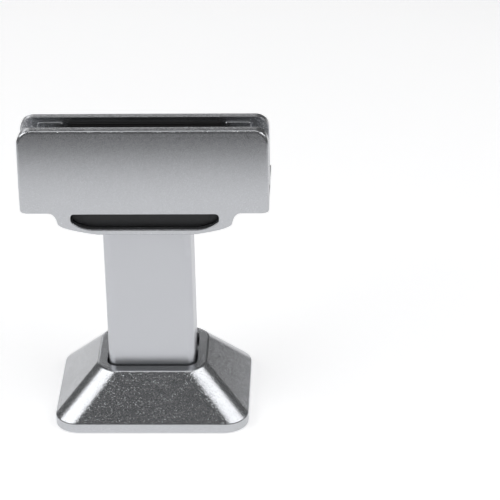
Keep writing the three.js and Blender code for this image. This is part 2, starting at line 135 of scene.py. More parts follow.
def share(name, text, default):
    """A number from 0 to 1."""
    return FloatProperty(name=name, description=text, default=default, min=0, max=1, subtype="FACTOR")


class HeadSizes(PropertyGroup):
    jaw_corner: length("Jaw corner", "Radius of the top corners of both jaws", 7)
    draft: length("Draft", "How far each jaw's outside leans in at its top", 4)
    table_top: length("Table top", "Height of the table that the panel stands on", 123.5)
    table_bottom: length("Table underside", "Height of the table's underside", 118.5)
    channel_half: length("Channel half width", "From the middle to a side of the channel", 31.5)
    channel_depth: length("Channel depth", "Depth of the channel in the table", 3)
    hull_bottom: length("Socket bottom", "Height of the underside of the hull-shaped socket", 106.8)
    hull_wall: length("Socket wall", "Thickness of the socket's walls", 4)
    hull_floor: length("Socket floor", "Thickness of the socket's floor", 3)
    slot_depth: length("Slot depth", "Depth of the slot in the front of the socket", 5.7)
    foot_corner: length("Foot corner", "Radius along the table's lower ends", 2)
    front_edge: length("Outer edge", "Rounding round the outside of a jaw", 1.5)
    cast_edge: length("Cast edge", "Rounding of the other edges", 0.45)
    slot_edge: length("Slot edge", "Rounding of the socket's edges and the slot's mouth", 0.5)
    rib_proud: length("Rib height", "How far the locating ribs stand out of the fixed jaw", 0.8)
    boss_proud: length("Boss height", "How far the bosses stand out of the sliding jaw", 1.2)


class HardwareSizes(PropertyGroup):
    screw_radius: length("Clamp screw radius", "Outside radius of the thread", 2.5)
    screw_pitch: length("Clamp screw pitch", "Pitch of the thread", 0.8)
    screw_head: length("Clamp screw head", "Height of the low head", 3.5)
    screw_hex: length("Clamp screw key", "Across the flats of the socket", 3)
    bolt_radius: length("Tie bolt radius", "Outside radius of the thread", 4)
    bolt_pitch: length("Tie bolt pitch", "Pitch of the thread", 1.25)
    bolt_head: length("Tie bolt head", "Height of the countersunk head", 4.4)
    bolt_hex: length("Tie bolt key", "Across the flats of the socket", 5)
    bolt_thread: length("Tie bolt thread", "Length of the threaded end", 22)
    ring_steps: IntProperty(name="Ring steps", description="Facets round a turned ring",
                            default=64, min=12, max=256)


class StandSizes(PropertyGroup):
    base_corner: length("Base corner", "Corner radius of the cover at the floor", 12.5)
    rim: length("Rim", "Height of the cover's upright rim", 5.5)
    collar_width: length("Collar width", "Width of the flat collar on top of the cover", 56)
    collar_depth: length("Collar depth", "Depth of the flat collar on top of the cover", 46.6)
    collar_corner: length("Collar corner", "Corner radius of the flat collar", 11.5)
    cover_wall: length("Cover wall", "Thickness of the cover", 2.5)
    running_gap: length("Running gap", "Between the cover and the column", 1.1)
    column_corner: length("Column corner", "Corner radius of the column", 4.3)
    column_wall: length("Column wall", "Thickness of the column", 2)
    plate_corner: length("Plate corner", "Corner radius of the base plate", 8)
    mat_corner: length("Mat corner", "Corner radius of the mat", 6.5)
    anchor_x: length("Anchor hole", "From the middle to each floor screw's hole", 34)
    anchor_radius: length("Anchor radius", "Radius of the floor screws' holes", 3.25)


class Finishes(PropertyGroup):
    paint: colour("Paint", "Metallic paint on the castings", (0.52, 0.53, 0.55))
    paint_roughness: share("Paint roughness", "Roughness of the metallic paint", 0.23)
    flake: length("Flake size", "Size of a metallic flake", 0.26)
    anodised: colour("Anodised", "Satin anodised column", (0.55, 0.56, 0.585))
    steel: colour("Bright steel", "Turned sleeves, screws and washers", (0.62, 0.63, 0.64))
    zinc: colour("Zinc plate", "Base plate and tie bolts", (0.52, 0.54, 0.56))
    # also used for the slot's insert, where the black is painted shade for the inside of the slot
    nylon: colour("Nylon", "Collar and foot plug", (0.014, 0.015, 0.017))
    rubber: colour("Rubber", "Pads and mat", (0.012, 0.012, 0.013))
    floor: colour("Floor", "Pale studio floor", (0.90, 0.90, 0.91))


# ---------- outlines ----------
def arc(cx, cy, radius, start, sweep, steps):
    """Points on an arc, both ends included."""
    angles = [start + sweep * i / steps for i in range(steps + 1)]
    return [(cx + radius * math.cos(a), cy + radius * math.sin(a)) for a in angles]


def bezier(first, handle, last, steps):
    """Points on a quadratic curve after its first point, the last one included."""
    points = []
    for i in range(1, steps + 1):
        t = i / steps
        points.append(tuple((1 - t) ** 2 * a + 2 * t * (1 - t) * b + t * t * c
                            for a, b, c in zip(first, handle, last)))
    return points


def mirrored(points):
    """An outline closed by its own mirror image in the first coordinate."""
    return points + [(-x, z) for x, z in reversed(points)]


def rounded_plan(width, depth, radius, steps):
    """A rounded rectangle round the origin, anticlockwise."""
    x = width / 2 - radius
    y = depth / 2 - radius
    points = []
    for turn, (sx, sy) in enumerate(((1, -1), (1, 1), (-1, 1), (-1, -1))):
        points += arc(sx * x, sy * y, radius, (turn - 1) * QUARTER, QUARTER, steps)
    return points


def jaw_outline(bottom, foot_corner, corner):
    """The outline that both jaws share along X: a small foot corner and a round top corner."""
    right = arc(HALF - foot_corner, bottom + foot_corner, foot_corner, -QUARTER, QUARTER, 5)
    right += arc(HALF - corner, JAW_TOP - corner, corner, 0, QUARTER, 18)
    return mirrored(right)


def hull_side(inset, bottom, top):
    """The right side of the hull-shaped socket, from its flat bottom up; inset shrinks it."""
    flat = (HULL_FLAT_HALF - inset / 4, bottom)
    knee = (HULL_KNEE[0] - inset, HULL_KNEE[1] + inset / 2)
    shoulder = (HULL_SHOULDER_HALF - inset, top)
    side = [flat]
    side += bezier(flat, (knee[0] - 2 * MM, knee[1] - 3 * MM), knee, 10)
    side += bezier(knee, (knee[0] + 1 * MM, top - 0.4 * MM), shoulder, 10)
    return side


def slot_outline(inset=0.0):
    """The long slot: flat top, boat-shaped bottom; inset shrinks it."""
    half = SLOT_HALF - inset
    top = SLOT_TOP - inset
    bottom = SLOT_BOTTOM + inset
    side = (half - 0.4 * MM, top - 3.7 * MM + inset)
    right = [(SLOT_FLAT_HALF - inset / 2, bottom)]
    right += bezier(right[0], (SLOT_BELLY_HALF - inset, bottom + 1.2 * MM), side, 8)
    right += bezier(side, (half + 0.3 * MM, top), (half - 2.3 * MM, top), 8)
    return mirrored(right)


# ---------- solids ----------
def linked(name, data):
    """A new object in the scene's collection."""
    made = bpy.data.objects.new(name, data)
    bpy.context.scene.collection.objects.link(made)
    return made


def new_object(name, bm):
    """Makes an object of a bmesh whose faces all point outwards."""
    bmesh.ops.recalc_face_normals(bm, faces=bm.faces)
    mesh = bpy.data.meshes.new(name)
    bm.to_mesh(mesh)
    bm.free()
    return linked(name, mesh)


def ring_solid(name, rings, closed=False):
    """A skin over rings of equal length; closed joins the last ring to the first, else both get caps."""
    bm = bmesh.new()
    rows = [[bm.verts.new(p) for p in ring] for ring in rings]
    count = len(rows[0])
    pairs = list(zip(rows, rows[1:]))
    if closed:
        pairs.append((rows[-1], rows[0]))
    for low, high in pairs:
        for i in range(count):
            j = (i + 1) % count
            bm.faces.new((low[i], low[j], high[j], high[i]))
    if not closed:
        bm.faces.new(reversed(rows[0]))
        bm.faces.new(rows[-1])
    return new_object(name, bm)


def wall(name, outline, y0, y1):
    """An outline in XZ, extruded along Y."""
    return ring_solid(name, [[(x, y, z) for x, z in outline] for y in (y0, y1)])


def block(name, low, high):
    """A box from its two corners."""
    outline = [(low[0], low[2]), (high[0], low[2]), (high[0], high[2]), (low[0], high[2])]
    return wall(name, outline, low[1], high[1])


def plan_rings(sections, steps):
    """Rings of rounded rectangles from [width, depth, corner, height] sections."""
    return [[(x, y, z) for x, y in rounded_plan(w, d, r, steps)] for w, d, r, z in sections]


def soft_prism(name, width, depth, corner, z0, z1, edge, steps=10, rim_steps=4):
    """A rounded rectangle prism whose two rims are rounded."""
    sections = []
    for i in range(rim_steps + 1):
        a = QUARTER * i / rim_steps
        inset = edge * (1 - math.sin(a))
        sections.append((width - 2 * inset, depth - 2 * inset, corner - inset, z0 + edge * (1 - math.cos(a))))
    for w, d, r, z in reversed(sections[:]):
        sections.append((w, d, r, z0 + z1 - z))
    return ring_solid(name, plan_rings(sections, steps))


def eased(sections, radii, steps):
    """Rounds a closed run of [w, d, r, z] sections at the places that have a radius."""
    count = len(sections)
    out = []
    for i, radius in enumerate(radii):
        here = Vector(sections[i])
        if radius == 0:
            out.append(tuple(here))
            continue
        ends = []
        for other in (sections[i - 1], sections[(i + 1) % count]):
            step = Vector(other) - here
            run = math.hypot(max(abs(step[0]), abs(step[1])) / 2, step[3])
            ends.append(here + step * min(0.49, radius / run))
        out.append(tuple(ends[0]))
        out += bezier(tuple(ends[0]), tuple(here), tuple(ends[1]), steps)
    return out


def turned(name, profile, steps=48):
    """A turned solid about Z from (radius, height) points that start and end on the axis."""
    bm = bmesh.new()
    poles = [bm.verts.new((0, 0, profile[0][1])), bm.verts.new((0, 0, profile[-1][1]))]
    rows = []
    for radius, z in profile[1:-1]:
        rows.append([bm.verts.new((x, y, z)) for x, y in arc(0, 0, radius, 0, 2 * math.pi, steps)[:-1]])
    for low, high in zip(rows, rows[1:]):
        for i in range(steps):
            j = (i + 1) % steps
            bm.faces.new((low[i], low[j], high[j], high[i]))
    for i in range(steps):
        j = (i + 1) % steps
        bm.faces.new((poles[0], rows[0][j], rows[0][i]))
        bm.faces.new((poles[1], rows[-1][i], rows[-1][j]))
    return new_object(name, bm)


def placed(thing, matrix):
    """Moves a mesh itself, so that its object stays at the origin."""
    thing.data.transform(matrix)
    if matrix.determinant() < 0:
        thing.data.flip_normals()
    return thing


def shifted(thing, x):
    """Moves a mesh along X."""
    return placed(thing, Matrix.Translation((x, 0, 0)))


def along_y(thing, x, z):
    """Lays a part that was made about Z along +Y instead, at x and z."""
    return placed(thing, Matrix.Translation((x, 0, z)) @ Matrix.Rotation(-QUARTER, 4, "X"))


def settle(thing):
    """Turns an object's modifiers into its mesh."""
    graph = bpy.context.evaluated_depsgraph_get()
    graph.update()
    mesh = bpy.data.meshes.new_from_object(thing.evaluated_get(graph))
    thing.modifiers.clear()
    old = thing.data
    thing.data = mesh
    mesh.name = thing.name
    bpy.data.meshes.remove(old)
    return thing


def combine(target, operation, tools):
    """Joins tools to a solid, or cuts them out of it."""
    for tool in tools:
        step = target.modifiers.new(tool.name, "BOOLEAN")
        step.operation = operation
        step.solver = "EXACT"
        step.object = tool
    settle(target)
    for tool in tools:
        bpy.data.objects.remove(tool)
    tidy_mesh(target)
    return target


def tidy_mesh(thing):
    """Merges doubled vertices and flat faces."""
    bm = bmesh.new()
    bm.from_mesh(thing.data)
    bmesh.ops.remove_doubles(bm, verts=bm.verts, dist=0.5e-5)
    bmesh.ops.dissolve_limit(bm, angle_limit=math.radians(0.4), verts=bm.verts, edges=bm.edges)
    bmesh.ops.dissolve_degenerate(bm, dist=1e-6, edges=bm.edges)
    bm.to_mesh(thing.data)
    bm.free()


def bevel_edges(thing, width, segments, weight_of):
    """Rounds edges by a weight from 0 to 1 that weight_of gives for (middle, direction, convex)."""
    mesh = thing.data
    bm = bmesh.new()
    bm.from_mesh(mesh)
    layer = bm.edges.layers.float.new("bevel_weight_edge")
    for edge in bm.edges:
        if len(edge.link_faces) == 2 and edge.calc_face_angle(0) > math.radians(32):
            a, b = (v.co for v in edge.verts)
            edge[layer] = weight_of((a + b) / 2, (b - a).normalized(), edge.is_convex)
    bm.to_mesh(mesh)
    bm.free()
    step = thing.modifiers.new("edges", "BEVEL")
    step.limit_method = "WEIGHT"
    step.width = width
    step.segments = segments
    step.use_clamp_overlap = False
    step.miter_outer = "MITER_SHARP"
    settle(thing)
    return thing


def shade(thing, sharp_degrees=40):
    """Smooth shading with sharp creases, and large faces keep their own normal."""
    mesh = thing.data
    bm = bmesh.new()
    bm.from_mesh(mesh)
    bmesh.ops.remove_doubles(bm, verts=bm.verts, dist=1e-6)
    bmesh.ops.recalc_face_normals(bm, faces=bm.faces)
    bm.to_mesh(mesh)
    bm.free()
    mesh.shade_smooth()
    mesh.set_sharp_from_angle(angle=math.radians(sharp_degrees))
    step = thing.modifiers.new("normals", "WEIGHTED_NORMAL")
    step.keep_sharp = True
    step.weight = 100
    settle(thing)
    return thing


def slice_levels(bm, axis, levels):
    """Adds flat edge loops at the given heights along an axis."""
    normal = Vector((0, 0, 0))
    normal[axis] = 1
    for level in levels:
        geometry = list(bm.verts) + list(bm.edges) + list(bm.faces)
        bmesh.ops.bisect_plane(bm, geom=geometry, dist=1e-7, plane_co=normal * level, plane_no=normal)


def lean_outside(thing, inner, outer, towards, sizes):
    """Curves a jaw's flat outside inwards, from nothing at the table to the draft at the top."""
    steps = 20
    rise = JAW_TOP - sizes.table_top
    bm = bmesh.new()
    bm.from_mesh(thing.data)
    slice_levels(bm, 2, [sizes.table_top + rise * i / steps for i in range(1, steps)])
    for vert in bm.verts:
        t = max(0, (vert.co.z - sizes.table_top) / rise)
        part = min(1, max(0, (vert.co.y - inner) / (outer - inner)))
        vert.co.y += towards * sizes.draft * t * t * part
    bm.to_mesh(thing.data)
    bm.free()
    return thing


# ---------- geometry node trees ----------
def node_tree(name, inputs):
    """An empty geometry tree with a mesh output; inputs are (name, socket type, default)."""
    tree = bpy.data.node_groups.new(name, "GeometryNodeTree")
    tree.interface.new_socket("Geometry", in_out="INPUT", socket_type="NodeSocketGeometry")
    for label, kind, default in inputs:
        socket = tree.interface.new_socket(label, in_out="INPUT", socket_type=kind)
        if default is not None:
            socket.default_value = default
    tree.interface.new_socket("Geometry", in_out="OUTPUT", socket_type="NodeSocketGeometry")
    return tree


class Wiring:
    """Adds nodes to a tree and links them, one call each."""

    def __init__(self, tree):
        self.tree = tree
        self.given = tree.nodes.new("NodeGroupInput")
        self.result = tree.nodes.new("NodeGroupOutput")

    def add(self, kind, links=None, **settings):
        """A node with some settings; links maps an input's name or place to a value or an output."""
        made = self.tree.nodes.new(kind)
        for key, value in settings.items():
            setattr(made, key, value)
        for key, value in (links or {}).items():
            self.feed(made.inputs[key], value)
        return made

    def feed(self, socket, value):
        """Links an output to an input, or sets the input's own value."""
        if isinstance(value, bpy.types.NodeSocket):
            self.tree.links.new(value, socket)
        else:
            socket.default_value = value

    def math(self, operation, first, second=0.0, third=0.0):
        """One Math node's result."""
        node = self.add("ShaderNodeMath", {0: first, 1: second, 2: third}, operation=operation)
        return node.outputs[0]

    def finish_mesh(self, mesh):
        """Ends the tree in Realize Instances and Set Material."""
        real = self.add("GeometryNodeRealizeInstances", {"Geometry": mesh})
        dressed = self.add("GeometryNodeSetMaterial",
                           {"Geometry": real.outputs[0], "Material": self.given.outputs["Material"]})
        self.feed(self.result.inputs[0], dressed.outputs[0])


def turned_ring_tree():
    """A ring or sleeve about Z: a rounded wall section swept round a circle."""
    tree = node_tree("turned_ring", [
        ("Outer Radius", FLOAT, 4.5 * MM), ("Bore Radius", FLOAT, 2.8 * MM),
        ("Length", FLOAT, 10 * MM), ("Edge Round", FLOAT, 0.3 * MM),
        ("Start", FLOAT, 0.0), ("Steps", "NodeSocketInt", 64),
        ("Material", "NodeSocketMaterial", None)])
    w = Wiring(tree)
    given = w.given.outputs
    thickness = w.math("SUBTRACT", given["Outer Radius"], given["Bore Radius"])
    middle = w.math("MULTIPLY", w.math("ADD", given["Outer Radius"], given["Bore Radius"]), 0.5)
    circle = w.add("GeometryNodeCurvePrimitiveCircle", {"Resolution": given["Steps"], "Radius": middle})
    section = w.add("GeometryNodeCurvePrimitiveQuadrilateral",
                    {"Width": thickness, "Height": given["Length"]})
    soft = w.add("GeometryNodeFilletCurve", {"Curve": section.outputs[0], "Radius": given["Edge Round"]})
    count = [s for s in soft.inputs if s.name == "Count"]
    mode = [s for s in soft.inputs if s.name == "Mode"]
    if mode:
        mode[0].default_value = "Poly"
    else:
        soft.mode = "POLY"
    count[0].default_value = 4
    swept = w.add("GeometryNodeCurveToMesh", {"Curve": circle.outputs[0], "Profile Curve": soft.outputs[0]})
    height = w.math("ADD", given["Start"], w.math("MULTIPLY", given["Length"], 0.5))
    offset = w.add("ShaderNodeCombineXYZ", {"Z": height})
    moved = w.add("GeometryNodeTransform", {"Geometry": swept.outputs[0], "Translation": offset.outputs[0]})
    w.finish_mesh(moved.outputs[0])
    return tree


def threaded_shank_tree():
    """A closed round bar about Z whose surface winds in and out as a screw thread."""
    tree = node_tree("threaded_shank", [
        ("Radius", FLOAT, 2.5 * MM), ("Pitch", FLOAT, 0.8 * MM),
        ("Depth", FLOAT, 0.4 * MM), ("Length", FLOAT, 20 * MM),
        ("Start", FLOAT, 0.0), ("Rows", "NodeSocketInt", 150),
        ("Material", "NodeSocketMaterial", None)])
    w = Wiring(tree)
    given = w.given.outputs
    bar = w.add("GeometryNodeMeshCylinder", {"Vertices": 28, "Side Segments": given["Rows"],
                                             "Radius": given["Radius"], "Depth": given["Length"]})
    place = w.add("GeometryNodeInputPosition")
    xyz = w.add("ShaderNodeSeparateXYZ", {0: place.outputs[0]})
    turn = w.math("DIVIDE", w.math("ARCTAN2", xyz.outputs["Y"], xyz.outputs["X"]), 2 * math.pi)
    climb = w.math("DIVIDE", xyz.outputs["Z"], given["Pitch"])
    phase = w.math("FRACT", w.math("SUBTRACT", climb, turn))
    flank = w.math("MULTIPLY", w.math("PINGPONG", phase, 0.5), 2.0)
    half = w.math("MULTIPLY", given["Length"], 0.5)
    edge = w.math("SUBTRACT", half, w.math("ABSOLUTE", xyz.outputs["Z"]))
    lead = w.add("ShaderNodeMapRange", {"Value": edge, "From Min": 0.0, "From Max": given["Pitch"],
                                        "To Min": 1.0, "To Max": 0.0})
    cut = w.math("MAXIMUM", flank, lead.outputs[0])
    share_in = w.math("DIVIDE", w.math("MULTIPLY", cut, given["Depth"]), given["Radius"])
    scale = w.math("SUBTRACT", 1.0, share_in)
    height = w.math("ADD", xyz.outputs["Z"], w.math("ADD", half, given["Start"]))
    moved = w.add("ShaderNodeCombineXYZ", {"X": w.math("MULTIPLY", xyz.outputs["X"], scale),
                                           "Y": w.math("MULTIPLY", xyz.outputs["Y"], scale), "Z": height})
    wound = w.add("GeometryNodeSetPosition", {"Geometry": bar.outputs[0], "Position": moved.outputs[0]})
    w.finish_mesh(wound.outputs[0])
    return tree


def from_tree(name, tree, values):
    """A plain mesh object made by a geometry tree with these input values."""
    thing = linked(name, bpy.data.meshes.new(name))
    step = thing.modifiers.new(tree.name, "NODES")
    step.node_group = tree
    sockets = {s.name: s.identifier for s in tree.interface.items_tree if s.in_out == "INPUT"}
    for label, value in values.items():
        step[sockets[label]] = value
    return settle(thing)


# ---------- shader node groups ----------
def shader_group(name, inputs, outputs):
    """An empty shader group; sockets are (name, type, default)."""
    group = bpy.data.node_groups.new(name, "ShaderNodeTree")
    for label, kind, default in inputs:
        socket = group.interface.new_socket(label, in_out="INPUT", socket_type=kind)
        if default is not None:
            socket.default_value = default
    for label, kind in outputs:
        group.interface.new_socket(label, in_out="OUTPUT", socket_type=kind)
    return group


def flake_group():
    """Metallic flakes: each cell has its own tilt, and a few lean far to the side and glint; those few also
    get a brighter base colour, which is a painted glint.
    """
    group = shader_group("metal_flake", [
        ("Position", VECTOR, None), ("Flake Size", FLOAT, 0.4 * MM),
        ("Tilt", FLOAT, 0.08), ("Sparkle", FLOAT, 0.5)],
        [("Brightness", FLOAT), ("Height", FLOAT), ("Normal", VECTOR)])
    w = Wiring(group)
    given = w.given.outputs
    scale = w.math("DIVIDE", 1.0, given["Flake Size"])
    cells = w.add("ShaderNodeTexVoronoi", {"Vector": given["Position"], "Scale": scale, "Randomness": 1.0})
    luck = w.add("ShaderNodeTexWhiteNoise", {"Vector": cells.outputs["Color"]})
    rare = w.add("ShaderNodeMapRange", {"Value": luck.outputs["Value"], "From Min": 0.78, "From Max": 1.0,
                                        "To Min": 0.0, "To Max": 1.0}, interpolation_type="SMOOTHSTEP")
    glint = w.math("MULTIPLY", rare.outputs[0], given["Sparkle"])
    # Brightness lifts the base colour of the rare flakes: a painted glint, added to their real tilt.
    w.feed(w.result.inputs["Brightness"], w.math("MULTIPLY_ADD", glint, 0.2, 0.96))
    centred = w.add("ShaderNodeVectorMath", {0: cells.outputs["Color"], 1: (0.5, 0.5, 0.5)},
                    operation="SUBTRACT")
    sideways = w.add("ShaderNodeCombineXYZ", {"X": w.math("ADD", given["Tilt"], glint),
                                              "Y": given["Tilt"], "Z": given["Tilt"]})
    offset = w.add("ShaderNodeVectorMath", {0: centred.outputs[0], 1: sideways.outputs[0]},
                   operation="MULTIPLY")
    facing = w.add("ShaderNodeNewGeometry").outputs["Normal"]
    tipped = w.add("ShaderNodeVectorMath", {0: facing, 1: offset.outputs[0]}, operation="ADD")
    unit = w.add("ShaderNodeVectorMath", {0: tipped.outputs[0]}, operation="NORMALIZE")
    w.feed(w.result.inputs["Normal"], unit.outputs[0])
    peel = w.add("ShaderNodeTexNoise", {"Vector": given["Position"], "Scale": w.math("MULTIPLY", scale, 0.22),
                                        "Detail": 2.0})
    w.feed(w.result.inputs["Height"], peel.outputs[0])
    return group


def grain_group():
    """Fine noise for roughness and height, stretched along one axis if wanted."""
    group = shader_group("fine_grain", [
        ("Position", VECTOR, None), ("Stretch", VECTOR, (1, 1, 1)),
        ("Grain Size", FLOAT, 0.2 * MM), ("Base Roughness", FLOAT, 0.4),
        ("Roughness Change", FLOAT, 0.08)],
        [("Roughness", FLOAT), ("Height", FLOAT)])
    w = Wiring(group)
    given = w.given.outputs
    stretched = w.add("ShaderNodeVectorMath", {0: given["Position"], 1: given["Stretch"]},
                      operation="MULTIPLY")
    noise = w.add("ShaderNodeTexNoise", {"Vector": stretched.outputs[0],
                                         "Scale": w.math("DIVIDE", 1.0, given["Grain Size"]),
                                         "Detail": 3.0, "Roughness": 0.6})
    centred = w.math("SUBTRACT", noise.outputs[0], 0.5)
    rough = w.math("MULTIPLY_ADD", centred, given["Roughness Change"], given["Base Roughness"])
    w.feed(w.result.inputs["Roughness"], rough)
    w.feed(w.result.inputs["Height"], noise.outputs[0])
    return group


def handling_group():
    """Broad faint smudges and a little dust, as a roughness offset and a colour mask."""
    group = shader_group("handling_marks", [
        ("Position", VECTOR, None), ("Mark Size", FLOAT, 18 * MM),
        ("Amount", FLOAT, 0.05)],
        [("Offset", FLOAT), ("Mask", FLOAT)])
    w = Wiring(group)
    given = w.given.outputs
    noise = w.add("ShaderNodeTexNoise", {"Vector": given["Position"],
                                         "Scale": w.math("DIVIDE", 1.0, given["Mark Size"]),
                                         "Detail": 4.0, "Distortion": 0.6})
    mask = w.add("ShaderNodeMapRange", {"Value": noise.outputs[0], "From Min": 0.45, "From Max": 0.75})
    w.feed(w.result.inputs["Mask"], mask.outputs[0])
    w.feed(w.result.inputs["Offset"], w.math("MULTIPLY", mask.outputs[0], given["Amount"]))
    return group


def finish(name):
    """The material made here for a slot; the frame's own material has the slot's plain name."""
    return bpy.data.materials[name + "_finish"]


def material(name, colour_value, metallic, roughness, **fixed):
    """A principled material with constants on its own sockets; returns it with its wiring."""
    made = bpy.data.materials.new(name + "_finish")
    made.use_nodes = True
    tree = made.node_tree
    tree.nodes.clear()
    shader = tree.nodes.new("ShaderNodeBsdfPrincipled")
    out = tree.nodes.new("ShaderNodeOutputMaterial")
    tree.links.new(shader.outputs[0], out.inputs["Surface"])
    shader.inputs["Base Color"].default_value = (*colour_value, 1)
    shader.inputs["Metallic"].default_value = metallic
    shader.inputs["Roughness"].default_value = roughness
    for key, value in fixed.items():
        shader.inputs[key.replace("_", " ")].default_value = value
    made.diffuse_color = (*colour_value, 1)
    return made, shader


class Painter(Wiring):
    """Wires the shared groups into one material."""

    def __init__(self, made, shader):
        self.tree = made.node_tree
        self.shader = shader
        self.place = self.tree.nodes.new("ShaderNodeTexCoord").outputs["Object"]

    def group(self, name, **values):
        """One of the shared groups with its own values."""
        node = self.add("ShaderNodeGroup", node_tree=bpy.data.node_groups[name])
        self.feed(node.inputs["Position"], self.place)
        for key, value in values.items():
            self.feed(node.inputs[key.replace("_", " ")], value)
        return node.outputs

    def tint(self, colour_value, factor):
        """Base colour times a factor that changes over the surface."""
        node = self.add("ShaderNodeVectorMath", {0: colour_value}, operation="SCALE")
        self.feed(node.inputs["Scale"], factor)
        self.feed(self.shader.inputs["Base Color"], node.outputs[0])

    def rough(self, value):
        """Roughness from nodes."""
        self.feed(self.shader.inputs["Roughness"], value)

    def bump(self, height, distance, strength, normal=None):
        """A Bump node that feeds Normal."""
        node = self.add("ShaderNodeBump", {"Height": height, "Distance": distance, "Strength": strength})
        if normal is not None:
            self.feed(node.inputs["Normal"], normal)
        self.feed(self.shader.inputs["Normal"], node.outputs[0])


def make_paint(f):
    """Metallic silver paint of the castings."""
    made, shader = material("painted_casting", f.paint, 0.92, f.paint_roughness,
                            Coat_Weight=0.05, Coat_Roughness=0.2)
    p = Painter(made, shader)
    flake = p.group("metal_flake", Flake_Size=f.flake, Tilt=0.06, Sparkle=0.85)
    grain = p.group("fine_grain", Grain_Size=0.5 * MM, Base_Roughness=f.paint_roughness,
                    Roughness_Change=0.08)
    marks = p.group("handling_marks", Amount=0.03)
    # the flakes' Brightness scales the paint colour, so the rare flakes carry a painted glint
    p.tint(f.paint, flake["Brightness"])
    p.rough(p.math("ADD", grain["Roughness"], marks["Offset"]))
    p.bump(flake["Height"], 0.02 * MM, 0.3, flake["Normal"])
    return made


def make_anodised(f):
    """Satin anodised extrusion, with faint drawn lines along it."""
    made, shader = material("anodised_column", f.anodised, 0.95, 0.36)
    p = Painter(made, shader)
    lines = p.group("fine_grain", Stretch=(1, 1, 0.02), Grain_Size=0.25 * MM, Base_Roughness=0.36,
                    Roughness_Change=0.1)
    pits = p.group("fine_grain", Grain_Size=0.12 * MM, Base_Roughness=0.5, Roughness_Change=0.2)
    marks = p.group("handling_marks", Amount=0.03, Mark_Size=30 * MM)
    p.tint(f.anodised, p.math("MULTIPLY_ADD", pits["Height"], 0.10, 0.95))
    p.rough(p.math("ADD", lines["Roughness"], marks["Offset"]))
    p.bump(p.math("ADD", pits["Height"], p.math("MULTIPLY", lines["Height"], 0.5)), 0.01 * MM, 0.25)
    return made


def make_steel(f):
    """Bright turned steel with fine tool lines round its axis, which lies along Y."""
    made, shader = material("bright_steel", f.steel, 1.0, 0.2)
    p = Painter(made, shader)
    lines = p.group("fine_grain", Stretch=(0.03, 1, 0.03), Grain_Size=0.12 * MM, Base_Roughness=0.2,
                    Roughness_Change=0.14)
    p.tint(f.steel, p.math("MULTIPLY_ADD", lines["Height"], 0.12, 0.94))
    p.rough(lines["Roughness"])
    p.bump(lines["Height"], 0.01 * MM, 0.3)
    return made


def make_zinc(f):
    """Zinc plate: dull silver with a soft mottle."""
    made, shader = material("zinc_steel", f.zinc, 0.95, 0.42)
    p = Painter(made, shader)
    mottle = p.group("handling_marks", Mark_Size=5 * MM, Amount=0.16)
    grain = p.group("fine_grain", Grain_Size=0.3 * MM, Base_Roughness=0.36, Roughness_Change=0.16)
    p.tint(f.zinc, p.math("MULTIPLY_ADD", mottle["Mask"], -0.18, 1.0))
    p.rough(p.math("ADD", grain["Roughness"], mottle["Offset"]))
    p.bump(grain["Height"], 0.02 * MM, 0.3)
    return made


def make_black(name, base, roughness, grain_size, height):
    """A black moulded material with a fine spark-eroded texture."""
    made, shader = material(name, base, 0.0, roughness)
    p = Painter(made, shader)
    grain = p.group("fine_grain", Grain_Size=grain_size, Base_Roughness=roughness, Roughness_Change=0.2)
    marks = p.group("handling_marks", Mark_Size=12 * MM, Amount=0.08)
    p.tint(base, p.math("MULTIPLY_ADD", marks["Mask"], 0.5, 0.85))
    p.rough(p.math("ADD", grain["Roughness"], marks["Offset"]))
    p.bump(grain["Height"], height, 0.5)
    return made


def wear(thing, name):
    """Gives a piece its one material."""
    thing.data.materials.clear()
    thing.data.materials.append(finish(name))
    return thing


def hand_over(thing, body, slot, *nodes):
    """Dresses a finished piece and hands it to the frame in place of its nodes."""
    wear(thing, slot)
    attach(thing, body)
    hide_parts(*nodes)
    return thing


# ---------- head pieces ----------
def make_fixed_jaw(s):
    """The fixed jaw and its table, with the hull-shaped socket cast under them."""
    far = 10 * MM
    near = 0.01 * MM
    outline = jaw_outline(s.table_bottom, s.foot_corner, s.jaw_corner)
    cast = wall("fixed_jaw_casting", outline, FRONT, TABLE_BACK)
    above = block("above_table", (-HALF - far, FRONT_INNER, s.table_top),
                  (HALF + far, TABLE_BACK + far, JAW_TOP + far))
    channel = block("channel", (-s.channel_half, FRONT_INNER, s.table_top - s.channel_depth),
                    (s.channel_half, TABLE_BACK + far, s.table_top + far))
    combine(cast, "DIFFERENCE", [above, channel])
    small = s.cast_edge / s.front_edge

    def weight(middle, direction, convex):
        if abs(middle.y - FRONT) < near:
            return small if middle.z < s.table_bottom + near else 1.0
        if not convex and abs(direction.z) > 0.9:
            return 0.0
        return small

    bevel_edges(cast, s.front_edge, 4, weight)
    lean_outside(cast, FRONT_INNER, FRONT, 1, s)
    combine(cast, "UNION", [make_socket(s)])
    add_ribs_and_bosses(cast, s)
    return shade(cast)


